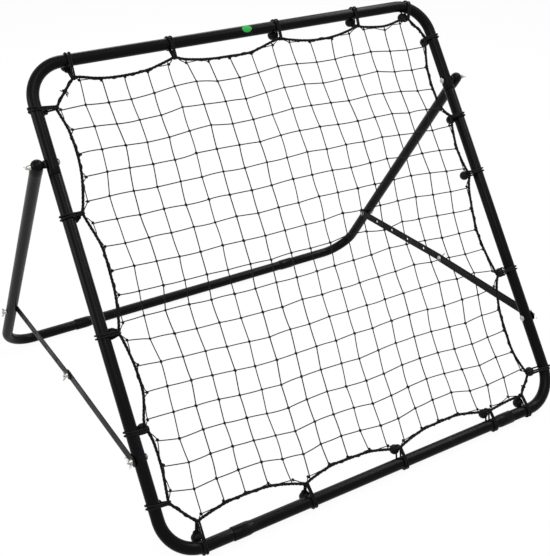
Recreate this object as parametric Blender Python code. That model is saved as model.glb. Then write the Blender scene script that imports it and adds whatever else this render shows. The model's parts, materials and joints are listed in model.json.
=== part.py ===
"""Rebounder net: a square tube frame with a knotted net, leaning back on a folding leg.

Metres, +Z up, +X to the right as seen from the front, -Y towards the player.
The front frame is modelled upright in its own coordinates (X across, Y to the back, Z up the
slope, zero on the bottom tube's centreline) and leans with its empty. The leg, the straps and
the wing nuts hang on empties that lie on their own pivots.
"""

import math

import bmesh
import bpy
import numpy as np
from mathutils import Matrix, Vector

# Front frame
FRAME_SIZE = 1.0
TUBE_D = 0.025
TUBE_WALL = 0.0012
CORNER_R = 0.076
JOINT_DROP = 0.024
SWAGE_LENGTH = 0.044
SHOULDER = 0.0024
BOTTOM_STUB = 0.0565
REAR_STUB = 0.111
SOCKET_DEPTH = 0.032
SOCKET_TAPER = 0.012
STOP_IN_SOCKET = 0.003

# Folding leg and straps, lengths from hole to hole
HINGE_UP = 0.779
LEG_LENGTH = 0.778
FRONT_PIVOT = 0.5846
REAR_PIVOT = 0.5885
FRONT_STRAP = 0.327
HOLE_PITCH = 0.068
HOLE_STEPS = 5
ELBOW = math.radians(177.8)
STRAP_T = 0.0018
FRONT_STRAP_H = 0.022
REAR_STRAP_H = 0.020
STRAP_END = 0.012

# Fasteners
BOLT_D = 0.006
HEAD_D = 0.0135
HEAD_T = 0.0038
DOME_SHOULDER = 0.7
NUT_HUB_D = 0.011
NUT_NECK_D = 0.008
NUT_T = 0.0075
NUT_SPAN = 0.024
NUT_RISE = 0.011
WING_T = 0.0018
THREAD_OUT = 0.0025
SPACER_D = 0.016

# A wing of a nut: the part of the hub's height that its root takes, then the corners of its tip
# as shares of half the span and of the rise
WING_ROOT = (0.30, 0.95)
WING_TIP = [(0.80, 0.55), (1.0, 0.78), (0.94, 1.0), (0.72, 0.98)]

# Net, border cord and ball bungees
NET_CELLS = 17
NET_MARGIN = 0.050
NET_FRONT = 0.0055
TWINE_D = 0.0022
CORD_D = 0.0064
SCALLOP = 0.095
LACING = 0.0085
CORD_STRAIGHT = 0.006
ELASTIC_D = 0.0032
ELASTIC_SPREAD = 0.0023
ELASTIC_PINCH = 0.0019
BALL_D = 0.023
BALL_OFF = 0.013
BALL_BACK = 0.0098
BALL_ASIDE = 0.004

# Gap between pieces that touch, and the share of a cord's diameter that its foot is cut flat
GAP = 0.0003
FOOT_CUT = 0.1

# Faces of the round forms, and the angle from which an edge between two faces looks sharp
TUBE_SIDES = 16
BORE_SIDES = 8
BEND_STEPS = 6
DOME_RINGS = [math.radians(angle) for angle in (0, 30, 55, 75)]
END_STEPS = 6
BOLT_SIDES = 8
HEAD_SIDES = 8
LOOP_SIDES = 7
LEAST_TURN = math.radians(4.3)
CORD_TURN_STEPS = 3
CORD_SIDES = 5
CORD_STEPS = 4
FINE_CORD_STEPS = 12
BALL_SIDES = 7
BALL_RINGS = 4
SHARP = math.radians(38)

# Each bungee: the stretch of tube that it lies on, its place there as a share, from the left or
# from below, and the border cord's distance from the tube's surface
TIES = {
    "top": [
        ("whole", 0.095, 0.0235),
        ("whole", 0.324, 0.0155),
        ("whole", 0.587, 0.0155),
        ("whole", 0.799, 0.0155),
        ("whole", 0.952, 0.0135),
    ],
    "right": [
        ("above hinge", 0.556, 0.0125),
        ("between bolts", 0.849, 0.0115),
        ("between bolts", 0.615, 0.0115),
        ("between bolts", 0.198, 0.0135),
        ("below bolts", 0.391, 0.0215),
    ],
    "bottom": [
        ("whole", 0.075, 0.0315),
        ("whole", 0.323, 0.0215),
        ("whole", 0.556, 0.0155),
        ("whole", 0.809, 0.0175),
        ("whole", 0.912, 0.0195),
    ],
    "left": [
        ("above hinge", 0.566, 0.0255),
        ("between bolts", 0.814, 0.0165),
        ("between bolts", 0.410, 0.0175),
        ("between bolts", 0.088, 0.0175),
        ("below bolts", 0.545, 0.0175),
    ],
}

# How far round each wing nut was left, in degrees
NUT_TURNS = {"hinge": 25, "lower": 65, "leg": 70, "strap": 15}

SIDES = ((-1, "left"), (1, "right"))

# The corners of a square, in turn
AROUND = ((-1, -1), (1, -1), (1, 1), (-1, 1))

TUBE_R = TUBE_D / 2
HALF = FRAME_SIZE / 2 - TUBE_R
LOWER_UP = HINGE_UP - FRONT_PIVOT
SIDE_JOINT = HINGE_UP - JOINT_DROP
NET_HALF = HALF - NET_MARGIN
BORE_R = TUBE_R - TUBE_WALL
SOCKET_BORE_R = TUBE_R + GAP
SOCKET_R = SOCKET_BORE_R + TUBE_WALL
SWAGE_R = BORE_R * math.cos(math.pi / BORE_SIDES) - GAP
SWAGE_BORE_R = SWAGE_R - TUBE_WALL
FLAT = math.cos(math.pi / TUBE_SIDES)
ELASTIC_R = ELASTIC_D / 2
LOOP_R = TUBE_R + GAP + ELASTIC_R
FRONT_STRAP_X = FRAME_SIZE / 2 + GAP
REAR_STRAP_X = FRONT_STRAP_X + STRAP_T + GAP
LEG_X = REAR_STRAP_X + STRAP_T + GAP + TUBE_R
BOTTOM_RIM = HALF - CORNER_R - BOTTOM_STUB
REAR_RIM = LEG_X - CORNER_R - REAR_STUB
HOLE_R = BOLT_D / 2 + GAP
REAR_STRAP = HOLE_PITCH * HOLE_STEPS

# The ends of each stretch of tube, from the middle of its side
STRETCHES = {
    "whole": (-HALF, HALF),
    "below bolts": (-HALF, LOWER_UP - HALF),
    "between bolts": (LOWER_UP - HALF, HINGE_UP - HALF),
    "above hinge": (HINGE_UP - HALF, HALF),
}


def stance():
    """Lean of the frame, angle between frame and leg, and the turn of each strap from the strap
    lengths, with the bungees under the bottom tube and the sockets of the rear tube on the floor."""
    spread = math.sqrt(
        FRONT_STRAP**2 + REAR_STRAP**2 - 2 * FRONT_STRAP * REAR_STRAP * math.cos(ELBOW)
    )
    opening = math.acos(
        (FRONT_PIVOT**2 + REAR_PIVOT**2 - spread**2) / (2 * FRONT_PIVOT * REAR_PIVOT)
    )
    base = math.sqrt(
        HINGE_UP**2 + LEG_LENGTH**2 - 2 * HINGE_UP * LEG_LENGTH * math.cos(opening)
    )
    at_front = math.acos((HINGE_UP**2 + base**2 - LEG_LENGTH**2) / (2 * HINGE_UP * base))
    front_z = TUBE_R + GAP + ELASTIC_D * (1 - FOOT_CUT)
    rear_z = SOCKET_R * FLAT
    lean = math.pi / 2 - at_front + math.asin((front_z - rear_z) / base)
    at_lower = math.acos(
        (FRONT_PIVOT**2 + spread**2 - REAR_PIVOT**2) / (2 * FRONT_PIVOT * spread)
    )
    strap_in = math.acos(
        (FRONT_STRAP**2 + spread**2 - REAR_STRAP**2) / (2 * FRONT_STRAP * spread)
    )
    front_turn = at_lower - strap_in
    at_leg = math.pi - opening - at_lower
    rear_in = math.pi - ELBOW - strap_in
    return lean, opening, front_turn, at_leg - rear_in, front_z


LEAN, OPENING, FRONT_TURN, REAR_TURN, FRONT_Z = stance()


def finish(name, colour, roughness, metallic):
    """A Principled material of one colour."""
    material = bpy.data.materials.new(name)
    material.use_nodes = True
    shader = material.node_tree.nodes["Principled BSDF"]
    shader.inputs["Base Color"].default_value = (*colour, 1.0)
    shader.inputs["Roughness"].default_value = roughness
    shader.inputs["Metallic"].default_value = metallic
    return material


def place(name, mesh, material, parent=None, location=(0, 0, 0), turn=0.0):
    """An object for the mesh, under its parent, turned about X."""
    body = bpy.data.objects.new(name, mesh)
    bpy.context.scene.collection.objects.link(body)
    body.parent = parent
    body.location = location
    body.rotation_euler = (turn, 0, 0)
    mesh.materials.clear()
    mesh.materials.append(material)
    mesh.shade_smooth()
    mesh.set_sharp_from_angle(angle=SHARP)
    return body


def fit(name, mesh, material, parent, side, x=0.0, z=0.0):
    """An object for a mesh that is made for the right side, mirrored on the left."""
    if side < 0:
        mesh.transform(Matrix.Scale(-1, 4, Vector((1, 0, 0))))
        mesh.flip_normals()
    return place(name, mesh, material, parent, (side * x, 0, z))


def pivot(name, parent=None, location=(0, 0, 0), turn=0.0):
    """An empty on a pivot's axis, turned about X."""
    empty = bpy.data.objects.new(name, None)
    bpy.context.scene.collection.objects.link(empty)
    empty.empty_display_size = 0.03
    empty.parent = parent
    empty.location = location
    empty.rotation_euler = (turn, 0, 0)
    return empty


def to_mesh(name, shape):
    """A mesh of the bmesh, faces out."""
    bmesh.ops.recalc_face_normals(shape, faces=shape.faces)
    mesh = bpy.data.meshes.new(name)
    shape.to_mesh(mesh)
    shape.free()
    return mesh


def combined(mesh, others, operation):
    """The mesh with the others cut out of it or joined to it."""
    helper = bpy.data.objects.new("helper", mesh)
    bpy.context.scene.collection.objects.link(helper)
    helpers = [helper]
    for other in others:
        cutter = bpy.data.objects.new("cutter", other)
        cutter.display_type = "WIRE"
        cutter.hide_render = True
        bpy.context.scene.collection.objects.link(cutter)
        helpers.append(cutter)
        step = helper.modifiers.new("step", "BOOLEAN")
        step.operation = operation
        step.solver = "EXACT"
        step.object = cutter
    seen = helper.evaluated_get(bpy.context.evaluated_depsgraph_get())
    result = bpy.data.meshes.new_from_object(seen)
    for item in helpers:
        bpy.data.objects.remove(item)
    return result


def ring(shape, centre, across, up, radius, sides):
    """Vertices of a regular polygon with a flat to each side, and its corners on the radius."""
    corners = []
    for step in range(sides):
        angle = 2 * math.pi * (step + 0.5) / sides
        offset = across * math.cos(angle) + up * math.sin(angle)
        corners.append(shape.verts.new(centre + offset * radius))
    return corners


def skin(shape, rings, closed=False):
    """Faces between rings that follow each other."""
    pairs = list(zip(rings, rings[1:]))
    if closed:
        pairs.append((rings[-1], rings[0]))
    for low, high in pairs:
        for step in range(len(low)):
            ahead = (step + 1) % len(low)
            shape.faces.new((low[step], low[ahead], high[ahead], high[step]))


def tube(name, path, bore, bore_sides):
    """A tube along a flat path of (point, direction, radius), with its own path for the bore."""
    shape = bmesh.new()
    flat = Vector((0, 1, 0))
    walls = []
    for stops, sides in ((path, TUBE_SIDES), (bore, bore_sides)):
        rings = []
        for point, direction, radius in stops:
            rings.append(ring(shape, point, flat, direction.cross(flat), radius, sides))
        skin(shape, rings)
        walls.append(rings)
    for end in (0, -1):
        rim(shape, walls[0][end], walls[1][end])
    return to_mesh(name, shape)


def rim(shape, outer, inner):
    """Faces across the end of a tube, whose bore may have fewer sides."""
    a = b = 0
    while a < len(outer) or b < len(inner):
        next_outer, next_inner = (a + 1.5) / len(outer), (b + 1.5) / len(inner)
        here = (outer[a % len(outer)], inner[b % len(inner)])
        if b == len(inner) or (a < len(outer) and next_outer <= next_inner):
            a += 1
            shape.faces.new((here[0], outer[a % len(outer)], here[1]))
        else:
            b += 1
            shape.faces.new((here[0], inner[b % len(inner)], here[1]))


def bend(centre, start, turn):
    """Points and directions on a corner's arc in the XZ plane, its two ends included."""
    stops = []
    for step in range(BEND_STEPS + 1):
        angle = start + turn * step / BEND_STEPS
        spoke = Vector((math.cos(angle), 0, math.sin(angle)))
        ahead = Vector((-math.sin(angle), 0, math.cos(angle))) * math.copysign(1, turn)
        stops.append((centre + spoke * CORNER_R, ahead))
    return stops


def with_radius(stops, radius):
    """The same radius at each stop of a path."""
    return [(point, direction, radius) for point, direction in stops]


def rod(name, start, direction, length, radius, sides):
    """A plain round bar, for holes."""
    shape = bmesh.new()
    across = Vector((0, 1, 0)) if abs(direction.y) < 0.9 else Vector((1, 0, 0))
    up = direction.cross(across)
    ends = [
        ring(shape, start, across, up, radius, sides),
        ring(shape, start + direction * length, across, up, radius, sides),
    ]
    skin(shape, ends)
    shape.faces.new(ends[0])
    shape.faces.new(ends[1])
    return to_mesh(name, shape)


def cross_hole(z, x=0.0):
    """A bolt hole right across a tube, along X."""
    start = Vector((x - TUBE_D, 0, z))
    return rod("hole", start, Vector((1, 0, 0)), 2 * TUBE_D, HOLE_R, BOLT_SIDES)


def turned(shape, profile, sides):
    """A solid turned about X from (x, radius) stops, closed to a point where the radius is 0."""
    rings = []
    for x, radius in profile:
        if radius == 0:
            rings.append([shape.verts.new((x, 0, 0))])
        else:
            centre = Vector((x, 0, 0))
            rings.append(ring(shape, centre, Vector((0, 1, 0)), Vector((0, 0, 1)), radius, sides))
    for low, high in zip(rings, rings[1:]):
        for step in range(sides):
            ahead = (step + 1) % sides
            if len(low) == 1:
                shape.faces.new((low[0], high[ahead], high[step]))
            elif len(high) == 1:
                shape.faces.new((low[step], low[ahead], high[0]))
            else:
                shape.faces.new((low[step], low[ahead], high[ahead], high[step]))
    for end in (rings[0], rings[-1]):
        if len(end) > 1:
            shape.faces.new(end)


# Tubes of the front frame, in its own upright coordinates


def top_tube():
    """The top bar, both upper corners and the two short stretches down to the side tubes."""
    inner_x = HALF - CORNER_R
    top_z = 2 * HALF - CORNER_R
    stops = [(Vector((-HALF, 0, SIDE_JOINT)), Vector((0, 0, 1)))]
    stops += bend(Vector((-inner_x, 0, top_z)), math.pi, -math.pi / 2)
    stops += bend(Vector((inner_x, 0, top_z)), math.pi / 2, -math.pi / 2)
    stops += [(Vector((HALF, 0, SIDE_JOINT)), Vector((0, 0, -1)))]
    mesh = tube("top_tube", with_radius(stops, TUBE_R), with_radius(stops, BORE_R), BORE_SIDES)
    return combined(mesh, [cross_hole(HINGE_UP, -HALF), cross_hole(HINGE_UP, HALF)], "DIFFERENCE")


def side_tube():
    """A lower upright with its corner. Its narrowed top goes up into the top tube, where the
    hinge bolt pins it, and its foot goes into the bottom tube's socket."""
    foot = Vector((BOTTOM_RIM - SOCKET_DEPTH + STOP_IN_SOCKET, 0, 0))
    top = Vector((HALF, 0, SIDE_JOINT + SWAGE_LENGTH))
    neck = Vector((HALF, 0, SIDE_JOINT - GAP))
    wall = Vector((0, 0, TUBE_WALL))
    slope = Vector((0, 0, SHOULDER))
    up = Vector((0, 0, 1))
    arc = bend(Vector((HALF - CORNER_R, 0, CORNER_R)), -math.pi / 2, math.pi / 2)
    path = [(foot, Vector((1, 0, 0)), TUBE_R)] + with_radius(arc, TUBE_R)
    path += [(neck - wall, up, TUBE_R), (neck, up, SWAGE_R), (top, up, SWAGE_R)]
    bore = [(foot, Vector((1, 0, 0)), BORE_R)] + with_radius(arc, BORE_R)
    bore += [
        (neck - wall - slope, up, BORE_R),
        (neck - wall, up, SWAGE_BORE_R),
        (top, up, SWAGE_BORE_R),
    ]
    holes = [cross_hole(HINGE_UP, HALF), cross_hole(LOWER_UP, HALF)]
    return combined(tube("side_tube", path, bore, BORE_SIDES), holes, "DIFFERENCE")


def socket_tube(name, half_length):
    """A straight tube, its two ends opened out into sockets."""
    along = Vector((1, 0, 0))
    shoulder = half_length - SOCKET_DEPTH
    neck = shoulder - SOCKET_TAPER
    stops = [(-half_length, True), (-shoulder, True), (-neck, False)]
    stops += [(neck, False), (shoulder, True), (half_length, True)]
    path, bore = [], []
    for x, wide in stops:
        point = Vector((x, 0, 0))
        path.append((point, along, SOCKET_R if wide else TUBE_R))
        bore.append((point, along, SOCKET_BORE_R if wide else BORE_R))
    return tube(name, path, bore, TUBE_SIDES)


# Leg tubes, in the leg's own coordinates: the hinge at zero, Z up along the leg


def leg_tube():
    """A leg with its lower corner and a round closed top about the hinge."""
    foot = Vector((REAR_RIM - SOCKET_DEPTH + STOP_IN_SOCKET, 0, -LEG_LENGTH))
    arc = bend(Vector((LEG_X - CORNER_R, 0, CORNER_R - LEG_LENGTH)), -math.pi / 2, math.pi / 2)
    walls = []
    for radius in (TUBE_R, BORE_R):
        path = [(foot, Vector((1, 0, 0)), radius)] + with_radius(arc, radius)
        for angle in DOME_RINGS:
            height = Vector((LEG_X, 0, radius * math.sin(angle)))
            path.append((height, Vector((0, 0, 1)), radius * math.cos(angle)))
        walls.append(path)
    holes = [cross_hole(0, LEG_X), cross_hole(-REAR_PIVOT, LEG_X)]
    return combined(tube("leg_tube", *walls, BORE_SIDES), holes, "DIFFERENCE")


# Straps, in their own coordinates: the pivot at zero, Z along the strap


def strap(length, height, holes):
    """A flat bar with round ends and bolt holes, its inner face at x = 0."""
    shape = bmesh.new()
    outline = []
    for middle, start in ((length, 0.0), (0.0, math.pi)):
        for step in range(END_STEPS + 1):
            angle = start + math.pi * step / END_STEPS
            outline.append((height / 2 * math.cos(angle), middle + STRAP_END * math.sin(angle)))
    faces = []
    for x in (0.0, STRAP_T):
        faces.append([shape.verts.new((x, y, z)) for y, z in outline])
    skin(shape, faces)
    shape.faces.new(faces[0])
    shape.faces.new(faces[1])
    return combined(to_mesh("strap", shape), [cross_hole(z) for z in holes], "DIFFERENCE")


# Fasteners, turned about X with the head's seat at x = 0 and the shank towards +X


def bolt(length):
    """A domed bolt."""
    shape = bmesh.new()
    profile = [(-HEAD_T, 0), (-HEAD_T * DOME_SHOULDER, HEAD_D / 2 * DOME_SHOULDER)]
    profile += [(0, HEAD_D / 2), (0, BOLT_D / 2), (length, BOLT_D / 2)]
    turned(shape, profile, BOLT_SIDES)
    return to_mesh("bolt", shape)


def stud(length):
    """The threaded end of a bolt."""
    shape = bmesh.new()
    turned(shape, [(0, BOLT_D / 2), (length, BOLT_D / 2)], BOLT_SIDES)
    return to_mesh("stud", shape)


def wing_nut():
    """A hub with two wings and its bore, its seat at x = 0."""
    shape = bmesh.new()
    turned(shape, [(0, NUT_HUB_D / 2), (NUT_T, NUT_NECK_D / 2)], HEAD_SIDES)
    hub = to_mesh("hub", shape)
    low, high = WING_ROOT
    outline = [(BOLT_D / 2, NUT_T * low)]
    outline += [(NUT_SPAN / 2 * out, NUT_RISE * up) for out, up in WING_TIP]
    outline += [(BOLT_D / 2, NUT_T * high)]
    wings = []
    for side in (-1, 1):
        shape = bmesh.new()
        faces = []
        for z in (-WING_T / 2, WING_T / 2):
            faces.append([shape.verts.new((x, side * y, z)) for y, x in outline])
        skin(shape, faces)
        shape.faces.new(faces[0])
        shape.faces.new(faces[1])
        wings.append(to_mesh("wing", shape))
    return combined(combined(hub, wings, "UNION"), [cross_hole(0)], "DIFFERENCE")


def washer(diameter, thickness):
    """A flat ring about X, its inner face at x = 0."""
    shape = bmesh.new()
    turned(shape, [(0, diameter / 2), (thickness, diameter / 2)], HEAD_SIDES)
    return combined(to_mesh("washer", shape), [cross_hole(0)], "DIFFERENCE")


# Border cord and net, in the plane of the front frame


def on_rim(side, from_middle):
    """Point on the frame's centreline, that far from the middle of its side, and the way into
    the net there. What is past the straight part goes round the corner."""
    straight = HALF - CORNER_R
    way = math.copysign(1, from_middle)
    angle = max(0.0, abs(from_middle) - straight) / CORNER_R
    shift = way * (min(abs(from_middle), straight) + CORNER_R * math.sin(angle))
    drop = CORNER_R * (1 - math.cos(angle))
    inward = Vector((-way * math.sin(angle), math.cos(angle)))
    if side == "top":
        return Vector((shift, 2 * HALF - drop)), Vector((inward.x, -inward.y))
    if side == "bottom":
        return Vector((shift, drop)), Vector((inward.x, inward.y))
    if side == "left":
        return Vector((-HALF + drop, HALF + shift)), Vector((inward.y, inward.x))
    return Vector((HALF - drop, HALF + shift)), Vector((-inward.y, inward.x))


def tie_place(side, number):
    """Where a bungee lies on its tube, the way into the net, and how far in the cord is."""
    stretch, share, slack = TIES[side][number]
    low, high = STRETCHES[stretch]
    point, inward = on_rim(side, low + (high - low) * share)
    return point, inward, TUBE_R + slack


def tie_order():
    """The bungees in turn round the net, clockwise from the upper left, as (side, number)."""
    order = [("top", k) for k in range(5)] + [("right", k) for k in range(5)]
    order += [("bottom", k) for k in (4, 3, 2, 1, 0)] + [("left", k) for k in (4, 3, 2, 1, 0)]
    return order


def cord_route(steps):
    """The border cord's centreline: straight through each bungee, hanging in towards the net
    between two of them, and straight across each corner."""
    posts = []
    for side, number in tie_order():
        point, inward, reach = tie_place(side, number)
        onward = Vector((-inward.y, inward.x))
        centre = point + inward * reach
        posts.append((side, centre - onward * CORD_STRAIGHT, centre + onward * CORD_STRAIGHT))
    route = []
    for index, (side, arrive, leave) in enumerate(posts):
        next_side, next_arrive, _ = posts[(index + 1) % len(posts)]
        route += [arrive, leave]
        if next_side != side:
            continue
        chord = next_arrive - leave
        sag = Vector((chord.y, -chord.x)).normalized() * chord.length * SCALLOP
        for step in range(1, steps):
            t = step / steps
            route.append(leave + chord * t + sag * 4 * t * (1 - t))
    return route


def cord_tube(name, points):
    """A closed cord round points in the frame's plane, a flat to the front."""
    shape = bmesh.new()
    rings = []
    front = Vector((0, -1, 0))
    spots = [Vector((p.x, -NET_FRONT, p.y)) for p in points]
    for index, spot in enumerate(spots):
        before, after = spots[index - 1], spots[(index + 1) % len(spots)]
        direction = ((spot - before).normalized() + (after - spot).normalized()).normalized()
        rings.append(ring(shape, spot, front, direction.cross(front), CORD_D / 2, CORD_SIDES))
    skin(shape, rings, closed=True)
    return to_mesh(name, shape)


def knots():
    """Where the knots of the net lie. Those on the border hang on the cord by their lacing, and
    each of the others lies at the mean of its four neighbours, as equal pulls leave it."""
    route = cord_route(FINE_CORD_STEPS)
    loop = np.array([(p.x, p.y) for p in route])
    middle = np.array((0.0, HALF))
    count = NET_CELLS + 1
    lines = np.linspace(-NET_HALF, NET_HALF, count)

    def border(direction, value):
        """The cord where a mesh line meets it, and the way in from there."""
        across = 0 if direction in ("top", "bottom") else 1
        offset = loop - middle
        sign = 1 if direction in ("top", "right") else -1
        found = None
        for a, b in zip(offset, np.roll(offset, -1, axis=0)):
            low, high = a[across] - value, b[across] - value
            if low * high <= 0 and low != high:
                hit = a + (b - a) * low / (low - high)
                if sign * hit[1 - across] > 0:
                    inward = np.array((b[1] - a[1], a[0] - b[0]))
                    found = hit + inward / np.linalg.norm(inward) * LACING
        return found + middle

    grid = np.zeros((count, count, 2))
    fixed = np.zeros((count, count), bool)
    for k in range(1, count - 1):
        grid[k, -1] = border("top", lines[k])
        grid[k, 0] = border("bottom", lines[k])
        grid[0, k] = border("left", lines[k])
        grid[-1, k] = border("right", lines[k])
    fixed[0, :] = fixed[-1, :] = fixed[:, 0] = fixed[:, -1] = True
    for i, j in ((0, 0), (0, -1), (-1, 0), (-1, -1)):
        side = 1 if i == 0 else -2
        end = 1 if j == 0 else -2
        grid[i, j] = (grid[i, end] + grid[side, j]) / 2
    index = {}
    for i in range(count):
        for j in range(count):
            if not fixed[i, j]:
                index[i, j] = len(index)
    matrix = np.zeros((len(index), len(index)))
    pull = np.zeros((len(index), 2))
    for (i, j), row in index.items():
        matrix[row, row] = 4
        for spot in ((i - 1, j), (i + 1, j), (i, j - 1), (i, j + 1)):
            if spot in index:
                matrix[row, index[spot]] = -1
            else:
                pull[row] += grid[spot]
    solved = np.linalg.solve(matrix, pull)
    for (i, j), row in index.items():
        grid[i, j] = solved[row]
    return grid


def net():
    """Twine between the knots, all one piece. Each knot is a small block, and the twine runs from
    the side of one to the side of the next."""
    grid = knots()
    count = NET_CELLS + 1
    shape = bmesh.new()
    half = TWINE_D / 2
    blocks = {}
    for i in range(count):
        for j in range(count):
            x, z = grid[i, j]
            corners = {}
            for sx in (-1, 1):
                for sz in (-1, 1):
                    for sy in (-1, 1):
                        spot = (x + sx * half, sy * half - NET_FRONT, z + sz * half)
                        corners[sx, sz, sy] = shape.verts.new(spot)
            blocks[i, j] = corners
            for sy in (-1, 1):
                shape.faces.new([corners[a, b, sy] for a, b in AROUND])
            edges = ((i == 0, "x", -1), (i == count - 1, "x", 1))
            edges += ((j == 0, "z", -1), (j == count - 1, "z", 1))
            for at_edge, axis, sign in edges:
                if at_edge:
                    shape.faces.new(block_side(corners, axis, sign))
    for i in range(count):
        for j in range(count):
            if i + 1 < count:
                bridge(shape, blocks[i, j], blocks[i + 1, j], "x")
            if j + 1 < count:
                bridge(shape, blocks[i, j], blocks[i, j + 1], "z")
    return to_mesh("net", shape)


def block_side(corners, axis, sign):
    """The four corners of one side of a knot, in turn."""
    if axis == "x":
        return [corners[sign, a, b] for a, b in AROUND]
    return [corners[a, sign, b] for a, b in AROUND]


def bridge(shape, block, following, axis):
    """Twine from one knot to the next."""
    skin(shape, [block_side(block, axis, 1), block_side(following, axis, -1)])


# Ball bungees, in their own coordinates: the tube's axis along X, Z into the net, -Y to the front


def bungee(reach, aside):
    """Two strands of elastic round the tube and the border cord, drawn together at a ball."""
    cord_turn_r = CORD_D / 2 + GAP + ELASTIC_R
    span = math.hypot(reach, NET_FRONT)
    tilt = math.atan2(NET_FRONT, reach)
    wrap = math.acos((LOOP_R - cord_turn_r) / span)
    down = math.pi + LEAN
    step = 2 * math.pi / LOOP_SIDES
    first, last = tilt + wrap, tilt + 2 * math.pi - wrap
    flats = [down + (k + 0.5) * step for k in range(-(LOOP_SIDES // 2), LOOP_SIDES // 2)]
    angles = [first] + [a for a in flats if first + LEAST_TURN < a < last - LEAST_TURN] + [last]
    corner = LOOP_R / math.cos(step / 2)
    stops = [(corner * math.cos(angle), corner * math.sin(angle)) for angle in angles]
    corner = cord_turn_r / math.cos(wrap / CORD_TURN_STEPS)
    for k in range(CORD_TURN_STEPS + 1):
        angle = tilt - wrap + 2 * wrap * k / CORD_TURN_STEPS
        stops.append((reach + corner * math.cos(angle), NET_FRONT + corner * math.sin(angle)))
    strands = []
    for side in (-1, 1):
        shape = bmesh.new()
        rings = []
        spots = []
        for up, forward in stops:
            share = min(max(up / reach, 0.0), 1.0)
            offset = ELASTIC_SPREAD + (ELASTIC_PINCH - ELASTIC_SPREAD) * share
            spots.append(Vector((side * offset, -forward, up)))
        for index, spot in enumerate(spots):
            before, after = spots[index - 1], spots[(index + 1) % len(spots)]
            direction = ((spot - before).normalized() + (after - spot).normalized()).normalized()
            across = Vector((1, 0, 0))
            across = (across - direction * across.dot(direction)).normalized()
            width = ELASTIC_R * math.sqrt(2)
            rings.append(ring(shape, spot, across, direction.cross(across), width, 4))
        skin(shape, rings, closed=True)
        strands.append(to_mesh("strand", shape))
    shape = bmesh.new()
    bmesh.ops.create_uvsphere(
        shape,
        u_segments=BALL_SIDES,
        v_segments=BALL_RINGS,
        radius=BALL_D / 2,
        matrix=Matrix.Translation((aside, BALL_BACK, TUBE_R + BALL_OFF)),
    )
    return combined(strands[0], [strands[1], to_mesh("ball", shape)], "UNION")


def tie(side, number, floor):
    """One bungee in its place, its ball to the left or below, cut flat where the frame stands
    on it."""
    point, inward, reach = tie_place(side, number)
    into_net = Vector((inward.x, 0, inward.y))
    back = Vector((0, 1, 0))
    facing = Matrix((back.cross(into_net), back, into_net)).transposed().to_4x4()
    mesh = bungee(reach, BALL_ASIDE if side in ("top", "left") else -BALL_ASIDE)
    mesh.transform(Matrix.Translation((point.x, 0, point.y)) @ facing)
    if side == "bottom":
        return combined(mesh, [floor.copy()], "DIFFERENCE")
    return mesh


def floor_slab(lean):
    """A slab under the floor, seen from the leaning frame."""
    shape = bmesh.new()
    bmesh.ops.create_cube(shape, size=1.0)
    size = (2 * FRAME_SIZE, FRAME_SIZE, TUBE_D)
    bmesh.ops.scale(shape, vec=size, verts=shape.verts)
    bmesh.ops.translate(shape, vec=(0, 0, -TUBE_D / 2), verts=shape.verts)
    bmesh.ops.transform(shape, matrix=lean.inverted(), verts=shape.verts)
    return to_mesh("floor", shape)


def build_frame(paint, frame):
    """The four tubes, the net, its cord and the bungees."""
    place("top_tube", top_tube(), paint, frame)
    place("bottom_tube", socket_tube("bottom_tube", BOTTOM_RIM), paint, frame)
    for side, word in SIDES:
        fit(f"side_tube_{word}", side_tube(), paint, frame, side)

    twine = finish("net_twine", (0.012, 0.011, 0.011), 0.85, 0.0)
    cord = finish("border_cord", (0.010, 0.010, 0.010), 0.90, 0.0)
    elastic = finish("elastic", (0.008, 0.008, 0.008), 0.60, 0.0)
    place("net", net(), twine, frame)
    place("border_cord", cord_tube("border_cord", cord_route(CORD_STEPS)), cord, frame)
    lean = Matrix.Translation((0, 0, FRONT_Z)) @ Matrix.Rotation(-LEAN, 4, "X")
    floor = floor_slab(lean)
    for side, number in tie_order():
        place(f"tie_{side}_{number + 1}", tie(side, number, floor), elastic, frame)


def build_leg(paint, leg):
    """The two leg tubes and the tube on the floor between them."""
    for side, word in SIDES:
        fit(f"leg_tube_{word}", leg_tube(), paint, leg, side)
    rear = socket_tube("rear_tube", REAR_RIM)
    place("rear_tube", rear, paint, leg, (0, 0, -LEG_LENGTH), LEAN - OPENING)


def build_straps(side, word, frame, leg):
    """The two straps of one side on their pivots."""
    paint = finish("strap_paint", (0.045, 0.044, 0.045), 0.42, 0.0)
    front = pivot(f"front_strap_{word}_axis", frame, (0, 0, LOWER_UP), -FRONT_TURN)
    bar = strap(FRONT_STRAP, FRONT_STRAP_H, (0.0, FRONT_STRAP))
    fit(f"front_strap_{word}", bar, paint, front, side, FRONT_STRAP_X)
    back = pivot(f"rear_strap_{word}_axis", leg, (0, 0, -REAR_PIVOT), REAR_TURN)
    bar = strap(REAR_STRAP, REAR_STRAP_H, [HOLE_PITCH * step for step in range(HOLE_STEPS + 1)])
    fit(f"rear_strap_{word}", bar, paint, back, side, REAR_STRAP_X)
    return front, back


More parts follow.
